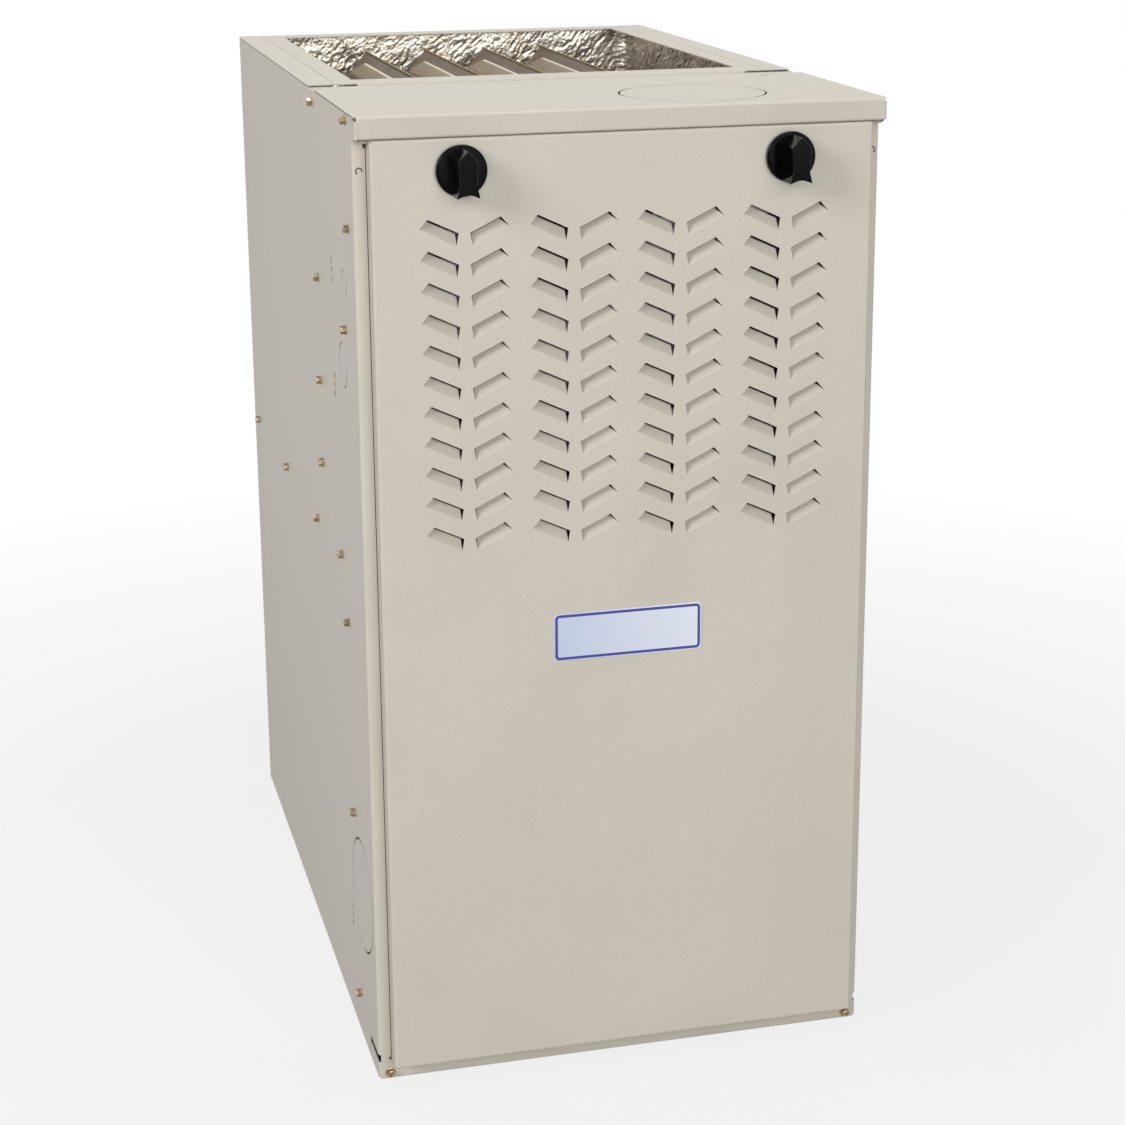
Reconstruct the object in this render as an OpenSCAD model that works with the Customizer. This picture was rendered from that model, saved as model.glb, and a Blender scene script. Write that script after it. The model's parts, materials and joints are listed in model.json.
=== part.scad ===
// Forced air gas furnace: an upright sheet-metal cabinet with one louvred outer door,
// a blower below, and burners, inducer and heat-exchanger cells above.
// Origin: centre of the cabinet's base. The door faces -Y, the supply outlet +Z.
// Depths written "from the front" are measured back from the cabinet's front flange plane.

/* [Cabinet] */
// Width of the cabinet
casing_w = 444.5; // [432:0.5:500]
// Depth of the cabinet without its door
casing_d = 716; // [700:1:760]
// Height of the cabinet
casing_h = 846; // [836:1:880]
// Thickness of the cabinet's sheet steel
sheet_t = 1; // [0.8:0.1:1.4]
// Width of the flange that each side wall turns in behind the door
front_flange_w = 24; // [20:1:28]
// Width of the flange that each side wall turns in at the supply outlet
duct_flange_w = 43.5; // [38:0.5:48]
// Width of the rear flange at the supply outlet
rear_flange_w = 31; // [26:1:36]
// Distance of the flanges' fold line from the outer edge
fold_line_in = 24; // [20:1:25]
// Width of the flange turned in at the base
base_flange_w = 32; // [26:1:38]
// Depth of the flue plate on top, from the front
plate_depth = 190; // [186:1:192]
// Depth of each of the two strips of the cross rail behind the flue plate
rail_strip_d = 33; // [31:1:35]
// Step down of the cross rail's front strip
rail_drop = 1.2; // [0.8:0.1:1.6]
// Height of the flue plate's front lip
lip_h = 18.5; // [16:0.5:21]
// Radius of the flue knock-out in the flue plate
flue_knockout_r = 62; // [56:0.5:62]
// Place of the flue knock-out across the cabinet
flue_x = 80; // [70:1:90]
// Place of the flue knock-out from the front
flue_from_front = 66; // [64:1:72]
// Radius of the round knock-out low in each side wall
side_knockout_r = 50.8; // [46:0.4:52]
// Place of the side knock-out from the front
side_knockout_from_front = 60; // [58:1:80]
// Height of the side knock-out
side_knockout_z = 149.5; // [140:0.5:170]
// Width of the cut round a knock-out
knockout_cut = 0.9; // [0.6:0.1:1.2]

/* [Outer door] */
// How far the door's face stands in front of the cabinet
door_proud = 17.5; // [16:0.5:20]
// Strip of cabinet that shows at each side of the door
door_margin = 11.6; // [10:0.2:14]
// Height of the strip below the door
strip_h = 17; // [15:0.5:20]
// Length of the return that the strip turns round each corner
strip_return_l = 40; // [30:1:50]
// Gap between the strip's return and the side wall
strip_gap = 3; // [2:0.5:4]
// Gap between the door and what frames it
door_gap = 0.8; // [0.5:0.1:1.2]
// Thickness of the door's sheet steel
door_t = 1; // [0.8:0.1:1.2]
// Depth of the tongue that hooks behind the bottom strip
hook_depth = 8.5; // [7:0.5:10]
// Width of each hooking tongue
hook_w = 70; // [50:5:90]

/* [Louvres] */
// Columns of louvre pairs
louvre_columns = 4; // [2:1:4]
// Rows of louvre pairs
louvre_rows = 11; // [5:1:11]
// Distance between the columns
louvre_column_pitch = 90.4; // [86:0.2:94]
// Distance between the rows
louvre_row_pitch = 25.5; // [24:0.1:27]
// Distance of the top row's folds below the cabinet's top
louvre_top_below = 99; // [94:1:106]
// Length of the fold along a louvre's lower edge
louvre_fold_l = 34; // [30:0.5:36]
// Length of the cut along a louvre's upper edge
louvre_cut_l = 28; // [24:0.5:30]
// Height of a louvre in the door's face, square to its fold
louvre_flap_w = 10.8; // [9:0.2:12]
// Slope of a louvre from level
louvre_slope = 25.5; // [22:0.5:28]
// Distance of a louvre's middle from the middle of its pair
louvre_offset = 22; // [20:0.5:24]
// Angle that a louvre's flap is bent in
louvre_angle = 37; // [28:1:40]

/* [Nameplate] */
// Width of the nameplate
nameplate_w = 130; // [100:1:150]
// Height of the nameplate
nameplate_h = 42; // [34:1:50]
// Thickness of the nameplate
nameplate_t = 0.8; // [0.5:0.1:1.5]
// Distance of the nameplate's middle below the cabinet's top
nameplate_below = 444; // [400:1:470]
// Corner radius of the nameplate
nameplate_corner_r = 4; // [2:0.5:6]

/* [Door knobs] */
// Distance of each knob from the middle of the door
knob_x = 137.8; // [130:0.2:145]
// Distance of the knobs below the cabinet's top
knob_below = 45; // [43:0.5:51]
// Radius of a knob's skirt
knob_r = 21; // [18:0.5:22]
// Height of the whole knob in front of the door
knob_h = 30; // [24:0.5:33]
// Height of a knob's skirt
knob_skirt_h = 6; // [4:0.5:8]
// Radius of a knob's stem
knob_stem_r = 7.45; // [6:0.05:8]
// Running clearance between a stem and its hole
stem_clearance = 0.05; // [0.02:0.01:0.08]
// Width across the flats of the cam at a stem's end
cam_flats = 9; // [8:0.5:10]
// Gap between a stem and each prong of its clip
prong_gap = 0.6; // [0.4:0.1:1]

/* [Screws] */
// Radius of a screw's washer face
screw_washer_r = 4.6; // [4:0.1:4.8]
// Width across the flats of a screw's hexagon head
screw_flats = 6.4; // [5.5:0.1:7]
// Height of a screw's head
screw_head_h = 5; // [3:0.1:5.5]
// Radius of a screw's shank
screw_shank_r = 2.1; // [1.8:0.1:2.4]

/* [Heat exchanger] */
// Height of the blower shelf's top face
shelf_z = 440; // [436:1:446]
// Front face of the cell panel from the front
cell_panel_from_front = 215; // [210:1:218]
// Number of clamshell cells
cell_count = 4; // [2:1:4]
// Distance between the cells
cell_pitch = 63.5; // [60:0.5:66]
// Gap between the cells' rear ends and the insulation
cell_rear_gap = 30; // [20:1:80]
// Half the width of a cell at its fullest
cell_half_w = 22; // [18:0.5:25]
// Distance of the cells' top seams below the cabinet's top
cell_top_below = 14; // [10:1:20]
// Distance of the cells' bottoms above the shelf
cell_bottom_above = 26; // [24:1:34]
// Height of the sloping roof of a cell
cell_roof_h = 34; // [24:1:38]
// Thickness of the foil-faced insulation
liner_t = 19; // [13:1:22]

/* [Burners and gas train] */
// Height of the burners above the shelf
burner_above = 62; // [56:1:68]
// Radius of a burner's mixing tube
burner_r = 11; // [9:0.5:13]
// Radius of the gas manifold
manifold_r = 10.5; // [9:0.5:12]
// Axis of the gas manifold from the front
manifold_from_front = 88; // [84:1:92]
// Length of the gas valve's body, across the cabinet
valve_l = 58; // [50:1:62]
// Wall radius of the threaded gas inlet
gas_inlet_r = 9.5; // [8:0.1:10.5]
// Depth of the threaded gas inlet
gas_inlet_depth = 16; // [12:0.5:18]
// Radius of the gas pipe's hole in the right-hand side wall
gas_entry_r = 16; // [14:0.5:20]

/* [Inducer and vent] */
// Distance of the inducer's shaft below the cabinet's top
inducer_below = 104; // [98:1:110]
// Place of the inducer's shaft across the cabinet
inducer_x = -30; // [-36:1:-24]
// Radius of the inducer's housing
inducer_r = 75; // [70:1:78]
// Depth of the inducer's housing
inducer_d = 50; // [44:1:52]
// Radius of the inducer's wheel
inducer_wheel_r = 58; // [50:1:60]
// Radius of the inducer's shaft
inducer_shaft_r = 4; // [3.5:0.1:4.5]
// Outer radius of the vent collar
collar_r = 50; // [46:0.5:51]
// Thickness of the vent collar's wall
collar_t = 1; // [0.8:0.1:1.4]

/* [Blower] */
// Blower shaft from the front
blower_from_front = 400; // [390:5:420]
// Height of the blower's shaft
blower_z = 236; // [230:1:240]
// Radius of the blower wheel
blower_wheel_r = 127; // [115:1:129]
// Gap between the blower wheel and each side of its housing
blower_side_gap = 6.5; // [5.5:0.5:12]
// Number of the blower wheel's blades
blade_count = 36; // [24:1:40]
// Inner width of the blower housing
blower_housing_w = 218; // [214:1:230]
// Radius of the housing's scroll where it starts
scroll_r_min = 138; // [135:1:142]
// Radius of the housing's scroll where it ends
scroll_r_max = 190; // [180:1:195]
// Opening of the housing's outlet, front to back
scroll_outlet_d = 150; // [140:1:160]
// Radius of the housing's air inlets
blower_inlet_r = 106; // [95:1:110]
// Radius of the blower motor
motor_r = 70; // [60:1:75]
// Length of the blower motor
motor_l = 120; // [100:1:130]
// Radius of the blower shaft
blower_shaft_r = 6.35; // [5:0.05:8]
// Running clearance round a shaft
shaft_clearance = 0.05; // [0.02:0.01:0.08]

/* [Controls] */
// Radius of the door switch's plunger
plunger_r = 4; // [3:0.1:5]
// Travel of a push button beyond its rest
button_travel = 1.5; // [1:0.1:2]
// Distance between the plunger's tip and the closed door
plunger_gap = 0.3; // [0.2:0.1:0.6]
// Radius of the rollout switch's reset button
reset_r = 2.5; // [2:0.1:3.5]
// Radius of the pressure switch
pressure_switch_r = 32; // [28:1:34]
// Radius of the pressure hose
hose_r = 4; // [3:0.5:5]
// Distance from the pressure hose's one leg to the other
hose_span = 60; // [52:1:62]
// Radius of the capacitor
capacitor_r = 25; // [20:1:28]
// Radius of the wire harness
harness_r = 7; // [5:0.5:8]

/* [Hidden] */
$fn = 64;
eps = 0.05;

half_w = casing_w / 2;
inner_x = half_w - sheet_t;
front_y = -casing_d / 2;
rear_y = casing_d / 2;
inner_rear_y = rear_y - sheet_t;
lip_bottom_z = casing_h - lip_h;
rail_y = front_y + plate_depth;
outlet_front_y = rail_y + 2 * rail_strip_d;
outlet_rear_y = rear_y - rear_flange_w;
outlet_x = half_w - duct_flange_w;
shelf_under_z = shelf_z - sheet_t;

knob_z = casing_h - knob_below;
louvre_top_z = casing_h - louvre_top_below;
nameplate_z = casing_h - nameplate_below;
door_y = front_y - door_proud;
door_x = half_w - door_margin;
door_bottom_z = strip_h + door_gap;
door_top_z = lip_bottom_z - door_gap;
door_back_y = front_y - 0.4;
door_inner_y = door_y + door_t;
hook_y = front_y + sheet_t + 0.4;

header_y = front_y + sheet_t;
header_h = 44;
header_top_z = casing_h - sheet_t - 6;
header_return = 8;
clip_t = 0.8;
cam_end_y = front_y - 1.2;
cam_l = 9;
prong_l = 11;
prong_w = 12;

cell_panel_y = front_y + cell_panel_from_front;
cell_y = cell_panel_y + sheet_t;
cell_l = inner_rear_y - liner_t - cell_rear_gap - cell_y;
cell_top_z = casing_h - cell_top_below;
cell_bottom_z = shelf_z + cell_bottom_above;
pass_count = 4;
pass_pitch = (cell_top_z - cell_roof_h - cell_bottom_z) / pass_count;
neck_h = pass_pitch * 0.22;
neck_half_w = 7;
cell_wall = 0.8;
seam_half_w = cell_wall;
seam_h = 4;
burner_z = shelf_z + burner_above;
support_h = 12;

inducer_z = casing_h - inducer_below;
collector_d = 48;
collector_half_w = 118;
collector_half_h = 52;
collector_y = cell_panel_y - collector_d;
inducer_y = collector_y - inducer_d;
inducer_motor_l = 64;
inducer_motor_r = 40;
flue_y = front_y + flue_from_front;
elbow_side_x = inducer_x + inducer_r + 1;
elbow_bottom_z = inducer_z - 8;
elbow_top_z = inducer_z + 34;
outlet_h = 46;
collar_top_z = casing_h - sheet_t - 6;

manifold_y = front_y + manifold_from_front;
manifold_half_l = 128;
orifice_l = 14;
burner_y = manifold_y + manifold_r + orifice_l + 2;
rack_y = manifold_y + 44;
rack_half_w = 124;
rack_below = 32;
rack_above = 54;
valve_x0 = manifold_half_l;
valve_x1 = valve_x0 + valve_l;
valve_half_d = 26;
valve_half_h = 30;
inlet_boss_l = 12;

blower_y = front_y + blower_from_front;
housing_half_w = blower_housing_w / 2;
scroll_top = shelf_under_z - blower_z;
tongue_y = scroll_outlet_d - scroll_r_max;
tongue_angle = acos(tongue_y / scroll_r_min);
scroll_steps = 32;
blower_wheel_w = blower_housing_w - 2 * sheet_t - 2 * blower_side_gap;
wheel_half_w = blower_wheel_w / 2;
wheel_plate_x = 20;
hub_r = 18;
hub_l = 30;
motor_x = wheel_plate_x - 14 - motor_l;
mount_t = 4;

control_y = front_y + 62;
control_x = -193;
control_w = 138;
control_h = 165;
junction_w = 42;
junction_from_front = 25;
junction_d = 60;
junction_z = casing_h - 174;
junction_h = 62;
switch_x = 150;
switch_w = 26;
switch_h = 30;
switch_y = front_y + 6;
switch_d = 28;
reset_x = 0;
reset_z = burner_z + 40;
sight_x = control_x + control_w / 2;
sight_z = shelf_z - 50;
sight_r = 14;
panel_bottom_z = strip_h + 6;
panel_screw_x = 170;
panel_screw_z = shelf_z - 12;

// Each side screw as [distance from the front, height]
side_screws_at = [
  [cell_panel_from_front - 11, casing_h - 12.6],
  [25, casing_h - 7.1],
  [25.2, casing_h - 94.6],
  [cell_panel_from_front - 15, casing_h - 166],
  [54, casing_h - 183.6],
  [cell_panel_from_front - 12.5, shelf_z + 146.6],
  [672.9, shelf_z - 3.7],
  [453, shelf_z + 0.3],
  [cell_panel_from_front - 8, shelf_z + 69.2],
  [251.7, shelf_z + 3.7],
  [111.5, shelf_z + 10.8],
  [86.5, shelf_z - 43.8],
  [86.7, 218],
  [86.5, 41.4]
];
// Each small round knock-out in a side wall as [distance from the front, height, radius]
small_knockouts_at = [[55, casing_h - 144, 11], [75, casing_h - 218, 19]];
// Each short slot in a side wall as [distance from the front, height, length]
side_slots_at = [[119, casing_h - 145, 20], [122, casing_h - 249, 10], [117, 105, 18]];

// ---- Shared shapes ----

// A block between two opposite corners
module block(low, high) {
  translate(low)
    cube(high - low);
}

// Round bars along each axis
module bar_x(x0, x1, y, z, r) {
  translate([x0, y, z])
    rotate([0, 90, 0])
      cylinder(h = x1 - x0, r = r);
}

module bar_y(x, y0, y1, z, r) {
  translate([x, y0, z])
    rotate([-90, 0, 0])
      cylinder(h = y1 - y0, r = r);
}

module bar_z(x, y, z0, z1, r) {
  translate([x, y, z0])
    cylinder(h = z1 - z0, r = r);
}

// The shape and its mirror image on the cabinet's other side
module both_sides() {
  children();
  mirror([1, 0, 0])
    children();
}

// A hexagon washer-head screw: head along +Z, shank down through a sheet of thickness grip
module hex_screw(grip) {
  cylinder(h = 0.8, r = screw_washer_r);
  cylinder(h = screw_head_h, r = screw_flats / sqrt(3), $fn = 6);
  translate([0, 0, -grip])
    cylinder(h = grip + eps, r = screw_shank_r);
}

// The cut round a knock-out, along Z, broken by tabs that still hold the disc
module knockout_cut_ring(r, depth, tabs, tab_w) {
  difference() {
    cylinder(h = depth, r = r + knockout_cut / 2, center = true);
    cylinder(h = depth + 1, r = r - knockout_cut / 2, center = true);
    for (i = [0:tabs - 1])
      rotate([0, 0, i * 360 / tabs + 35])
        translate([0, -tab_w / 2, -depth])
          cube([r + knockout_cut + 1, tab_w, 2 * depth]);
  }
}

// A row of short slots that marks a fold line, along +Y from the origin
module fold_slots(l) {
  pitch = 16;
  slot_l = 11;
  count = floor(l / pitch);
  start = (l - count * pitch + pitch - slot_l) / 2;
  for (i = [0:count - 1])
    translate([-0.4, start + i * pitch, -2 * sheet_t])
      cube([0.8, slot_l, 3 * sheet_t]);
}

// ---- Cabinet ----

module side_wall() {
  block([inner_x, front_y, 0], [half_w, rear_y, casing_h - sheet_t]);
  block([outlet_x, rail_y + rail_strip_d, casing_h - sheet_t], [half_w, rear_y, casing_h]);
  block([half_w - front_flange_w, front_y, strip_h],
        [half_w, front_y + sheet_t, casing_h - sheet_t]);
  block([half_w - base_flange_w, front_y + base_flange_w, 0], [half_w, rear_y, sheet_t]);
}

module side_wall_holes() {
  block([inner_x - eps, front_y - 1, -1],
        [half_w + 1, front_y + strip_return_l + 2, strip_h + strip_gap]);
  for (place = side_screws_at)
    translate([inner_x - eps, front_y + place[0], place[1]])
      rotate([0, 90, 0])
        cylinder(h = sheet_t + 2 * eps, r = screw_shank_r);
  translate([half_w - sheet_t / 2, front_y + side_knockout_from_front, side_knockout_z])
    rotate([0, 90, 0])
      knockout_cut_ring(side_knockout_r, 3 * sheet_t, 3, 5);
  for (k = small_knockouts_at)
    translate([half_w - sheet_t / 2, front_y + k[0], k[1]])
      rotate([0, 90, 0])
        knockout_cut_ring(k[2], 3 * sheet_t, 2, 14);
  for (s = side_slots_at)
    block([inner_x - eps, front_y + s[0], s[1] - s[2] / 2],
          [half_w + eps, front_y + s[0] + 1.6, s[1] + s[2] / 2]);
  translate([half_w - fold_line_in, rail_y + rail_strip_d + 10, casing_h])
    fold_slots(outlet_rear_y - rail_y - rail_strip_d - 10);
}

module casing_wrap() color([0.76, 0.73, 0.67]) {
  difference() {
    union() {
      both_sides()
        side_wall();
      block([-half_w, inner_rear_y, 0], [half_w, rear_y, casing_h]);
      block([-half_w, outlet_rear_y, casing_h - sheet_t], [half_w, rear_y, casing_h]);
      block([-half_w, rear_y - base_flange_w, 0], [half_w, rear_y, sheet_t]);
    }
    both_sides()
      side_wall_holes();
    bar_x(inner_x - 1, half_w + 1, manifold_y, burner_z, gas_entry_r);
    translate([-outlet_x, rear_y - fold_line_in, casing_h])
      rotate([0, 0, -90])
        fold_slots(2 * outlet_x);
    // The open joint between the right-hand flange and the rear flange
    translate([outlet_x, outlet_rear_y, casing_h - 2 * sheet_t])
      rotate([0, 0, -atan2(duct_flange_w, rear_flange_w)])
        translate([-1, -1, 0])
          cube([1.8, 0.82 * norm([duct_flange_w, rear_flange_w]), 3 * sheet_t]);
  }
}

module flue_plate() color([0.84, 0.81, 0.76]) {
  tab_r = 12.5;
  tab_x = 177;
  difference() {
    union() {
      block([-half_w, door_y, casing_h - sheet_t], [half_w, rail_y - 0.2, casing_h]);
      block([-half_w, door_y, lip_bottom_z], [half_w, door_y + sheet_t, casing_h]);
      block([-half_w, door_y, lip_bottom_z], [half_w, door_y + 10, lip_bottom_z + sheet_t]);
      both_sides()
        block([inner_x, door_y, lip_bottom_z], [half_w, front_y - 0.1, casing_h]);
      // Half-round embossed tabs at the plate's rear edge
      both_sides()
        intersection() {
          bar_z(tab_x, rail_y - 0.2, casing_h - sheet_t, casing_h + 0.6, tab_r);
          block([0, door_y, 0], [half_w, rail_y - 0.2, casing_h + 1]);
        }
    }
    translate([flue_x, flue_y, casing_h - sheet_t / 2])
      knockout_cut_ring(flue_knockout_r, 3 * sheet_t, 4, 6);
    // Relief holes where the lip and its end returns meet the plate
    both_sides()
      translate([half_w, door_y, casing_h])
        cube([4 * sheet_t, 4 * sheet_t, 4 * sheet_t], center = true);
  }
}

module cross_rail() color([0.82, 0.79, 0.73]) {
  step_y = rail_y + rail_strip_d;
  low_z = casing_h - rail_drop;
  // Low front strip, across the whole cabinet, bent down to the cell panel
  block([-inner_x, rail_y, low_z - sheet_t], [inner_x, step_y + 1, low_z]);
  // Rear strip, level with the duct flanges, with its turned-down edge
  block([-outlet_x, step_y, casing_h - sheet_t - rail_drop], [outlet_x, step_y + 1.2, casing_h]);
  block([-outlet_x, step_y, casing_h - sheet_t], [outlet_x, outlet_front_y, casing_h]);
  block([-outlet_x, outlet_front_y - sheet_t, casing_h - 9], [outlet_x, outlet_front_y, casing_h]);
}

// The strip below the door, with a return round each corner and a foot flange
module base_strip() color([0.77, 0.74, 0.68]) {
  difference() {
    union() {
      block([-half_w, front_y, 0], [half_w, front_y + sheet_t, strip_h]);
      both_sides()
        block([inner_x, front_y, 0], [half_w, front_y + strip_return_l, strip_h]);
      block([-half_w, front_y, 0], [half_w, front_y + base_flange_w, sheet_t]);
    }
    both_sides()
      bar_y(strip_screw_x(), front_y - 1, front_y + sheet_t + 1, strip_screw_z(), screw_shank_r);
  }
}

function strip_screw_x() = inner_x - screw_washer_r - 4.6;
function strip_screw_z() = strip_h * 0.38;

module base_panel() color([0.70, 0.70, 0.69]) {
  edge = 0.5;
  pan_x = half_w - base_flange_w - 1;
  pan_front_y = front_y + base_flange_w + 1;
  pan_rear_y = rear_y - base_flange_w - 1;
  difference() {
    union() {
      block([-inner_x + edge, front_y + base_flange_w - 12, sheet_t],
            [inner_x - edge, inner_rear_y - edge, 2 * sheet_t]);
      block([-pan_x, pan_front_y, 0], [pan_x, pan_rear_y, 2 * sheet_t]);
    }
    // The pan pressed down level with the cabinet's base flanges
    block([-pan_x + sheet_t, pan_front_y + sheet_t, sheet_t],
          [pan_x - sheet_t, pan_rear_y - sheet_t, 3 * sheet_t]);
  }
}

module header_rail() color([0.70, 0.70, 0.69]) {
  bottom_z = header_top_z - header_h;
  difference() {
    union() {
      block([-inner_x, header_y, bottom_z], [inner_x, header_y + sheet_t, header_top_z]);
      block([-inner_x, header_y, bottom_z], [inner_x, header_y + header_return, bottom_z + sheet_t]);
      block([-inner_x, header_y, header_top_z - sheet_t],
            [inner_x, header_y + header_return, header_top_z]);
    }
    both_sides()
      bar_y(knob_x, header_y - 1, header_y + 3, knob_z, 4);
  }
}

module side_screws() color([0.80, 0.70, 0.42]) {
  both_sides()
    for (place = side_screws_at)
      translate([half_w, front_y + place[0], place[1]])
        rotate([0, 90, 0])
          hex_screw(sheet_t);
}

module strip_screws() color([0.80, 0.70, 0.42]) {
  both_sides()
    translate([strip_screw_x(), front_y, strip_screw_z()])
      rotate([90, 0, 0])
        hex_screw(sheet_t);
}

module foil_liner() color([0.75, 0.75, 0.76]) {
  bottom_z = shelf_z;
  top_z = casing_h - sheet_t;
  difference() {
    block([-inner_x, cell_y, bottom_z], [inner_x, inner_rear_y, top_z]);
    block([-inner_x + liner_t, cell_y - 1, bottom_z - 1],
          [inner_x - liner_t, inner_rear_y - liner_t, top_z + 1]);
    // Room for the cross rail's strips
    block([-inner_x - 1, cell_y - 1, casing_h - 10], [inner_x + 1, outlet_front_y, casing_h + 1]);
  }
}

// ---- Outer door ----

// Outline of a louvre in the door's face: fold along +X, cut edge at +Y
module louvre_outline() {
  slant = (louvre_fold_l - louvre_cut_l) / 2;
  polygon([
    [-louvre_fold_l / 2, 0],
    [louvre_fold_l / 2, 0],
    [louvre_fold_l / 2 - slant, louvre_flap_w],
    [-louvre_fold_l / 2 + slant, louvre_flap_w]
  ]);
}

// Puts its children on every louvre: local X along the fold, Y up the door, -Z into the cabinet
module at_louvres() {
  for (column = [0:louvre_columns - 1])
    for (row = [0:louvre_rows - 1])
      for (side = [-1, 1])
        translate([
          (column - (louvre_columns - 1) / 2) * louvre_column_pitch + side * louvre_offset,
          door_y,
          louvre_top_z - row * louvre_row_pitch
        ])
          rotate([90, 0, 0])
            rotate([0, 0, side * louvre_slope])
              children();
}

module louvre_hole() {
  translate([0, 0, -2 * door_t])
    linear_extrude(3 * door_t)
      louvre_outline();
}

// A flap cut on three sides and bent into the cabinet along its fold
module louvre_flap() {
  rotate([-louvre_angle, 0, 0])
    translate([0, 0, -door_t])
      linear_extrude(door_t)
        louvre_outline();
}

module outer_door() color([0.79, 0.76, 0.70]) {
  difference() {
    union() {
      block([-door_x, door_y, door_bottom_z], [door_x, door_inner_y, door_top_z]);
      both_sides()
        block([door_x - door_t, door_y, door_bottom_z], [door_x, door_back_y, door_top_z]);
      block([-door_x, door_y, door_top_z - door_t], [door_x, door_back_y, door_top_z]);
      block([-door_x, door_y, door_bottom_z], [door_x, door_back_y, door_bottom_z + door_t]);
    }
    at_louvres()
      louvre_hole();
    both_sides()
      bar_y(knob_x, door_y - 1, door_inner_y + 1, knob_z, knob_stem_r + stem_clearance);
  }
  at_louvres()
    louvre_flap();
  both_sides()
    door_hook();
}

// A tongue that reaches over the bottom strip and down behind it
module door_hook() {
  x0 = door_x - 40 - hook_w;
  block([x0, front_y - 4, door_bottom_z], [x0 + hook_w, hook_y + door_t, door_bottom_z + door_t]);
  block([x0, hook_y, door_bottom_z + door_t - hook_depth],
        [x0 + hook_w, hook_y + door_t, door_bottom_z + door_t]);
}

module nameplate() color([0.80, 0.80, 0.84]) {
  x = nameplate_w / 2;
  z = nameplate_h / 2;
  r = nameplate_corner_r;
  translate([0, door_y, nameplate_z])
    rotate([90, 0, 0])
      linear_extrude(nameplate_t) {
        square([2 * x, 2 * (z - r)], center = true);
        square([2 * (x - r), 2 * z], center = true);
        for (sx = [-1, 1], sz = [-1, 1])
          translate([sx * (x - r), sz * (z - r)])
            circle(r = r);
      }
}

// Outline of the grip: an arrow head above, a fishtail below
module knob_grip_outline() {
  difference() {
    polygon([
      [0, 0.9 * knob_r],
      [-0.39 * knob_r, 0.49 * knob_r],
      [-0.33 * knob_r, -0.4 * knob_r],
      [-0.45 * knob_r, -0.9 * knob_r],
      [0.45 * knob_r, -0.9 * knob_r],
      [0.33 * knob_r, -0.4 * knob_r],
      [0.39 * knob_r, 0.49 * knob_r]
    ]);
    translate([0, -1.28 * knob_r])
      circle(r = 0.52 * knob_r);
  }
}

// A quarter-turn knob, its stem and its flatted cam, in place on the door at x
module knob(x) color([0.03, 0.03, 0.03]) {
  translate([x, door_y - 0.3, knob_z])
    rotate([90, 0, 0]) {
      cylinder(h = knob_skirt_h, r1 = knob_r, r2 = knob_r - 1.5);
      linear_extrude(knob_h)
        knob_grip_outline();
      // Three small raised ribs near the tail
      for (i = [-1:1])
        translate([i * 3.4 - 0.6, -0.55 * knob_r, knob_h - eps])
          cube([1.2, 3, 0.5 + eps]);
    }
  bar_y(x, door_y - 0.3 - eps, cam_end_y - cam_l, knob_z, knob_stem_r);
  intersection() {
    bar_y(x, cam_end_y - cam_l - eps, cam_end_y, knob_z, knob_stem_r);
    block([x - knob_stem_r - 1, front_y - door_proud, knob_z - cam_flats / 2],
          [x + knob_stem_r + 1, front_y, knob_z + cam_flats / 2]);
  }
}

module knob_left() {
  knob(-knob_x);
}

module knob_right() {
  knob(knob_x);
}

// A push-on ring behind the door's face that keeps a knob in its hole
module knob_retainer(x) color([0.62, 0.62, 0.64]) {
  difference() {
    bar_y(x, door_inner_y + 0.3, door_inner_y + 1.3, knob_z, knob_stem_r + 4);
    bar_y(x, door_inner_y - 1, door_inner_y + 3, knob_z, knob_stem_r + 0.02);
  }
}

module knob_left_retainer() {
  knob_retainer(-knob_x);
}

module knob_right_retainer() {
  knob_retainer(knob_x);
}

// Spring clips on the header rail, open to the front, that grip the cams
module latch_clips() color([0.60, 0.60, 0.62]) {
  gap = knob_stem_r + prong_gap;
  both_sides()
    difference() {
      block([knob_x - gap - clip_t, header_y - prong_l, knob_z - prong_w / 2],
            [knob_x + gap + clip_t, header_y, knob_z + prong_w / 2]);
      block([knob_x - gap, header_y - prong_l - 1, knob_z - prong_w],
            [knob_x + gap, header_y - clip_t, knob_z + prong_w]);
    }
}

// ---- Heat exchanger ----

function cell_x(i) = (i - (cell_count - 1) / 2) * cell_pitch;

module cell_panel() color([0.72, 0.72, 0.71]) {
  top_z = casing_h - rail_drop - sheet_t;
  difference() {
    union() {
      block([-inner_x, cell_panel_y, shelf_z], [inner_x, cell_y, top_z]);
      both_sides()
        block([inner_x - sheet_t, cell_panel_y - 22, shelf_z], [inner_x, cell_y, top_z]);
      block([-inner_x, cell_panel_y - 14, shelf_z], [inner_x, cell_y, shelf_z + sheet_t]);
    }
    for (i = [0:cell_count - 1]) {
      bar_y(cell_x(i), cell_panel_y - 1, cell_y + 1, burner_z, burner_r + 4);
      bar_y(cell_x(i), cell_panel_y - 1, cell_y + 1, inducer_z, burner_r + 2);
    }
  }
}

// Half outline of the passes from the roof down, drawn in by inset: [half width, height]
function cell_pass_outline(inset) = [
  for (pass = [0:pass_count - 1], step = [0:3])
    let (top = cell_top_z - cell_roof_h - pass * pass_pitch, end = top - pass_pitch)
      step == 0 ? [cell_half_w - inset, top - inset] :
      step == 1 ? [cell_half_w - inset, end + 2 * neck_h] :
      step == 2 ? [neck_half_w - inset, end + neck_h] :
      [neck_half_w - inset, end + (pass < pass_count - 1 ? 0.7 * neck_h : inset)]
];

// A whole outline, from the half that has positive width
function mirrored(half) = concat(half, [for (k = [len(half) - 1:-1:0]) [-half[k][0], half[k][1]]]);

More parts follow.
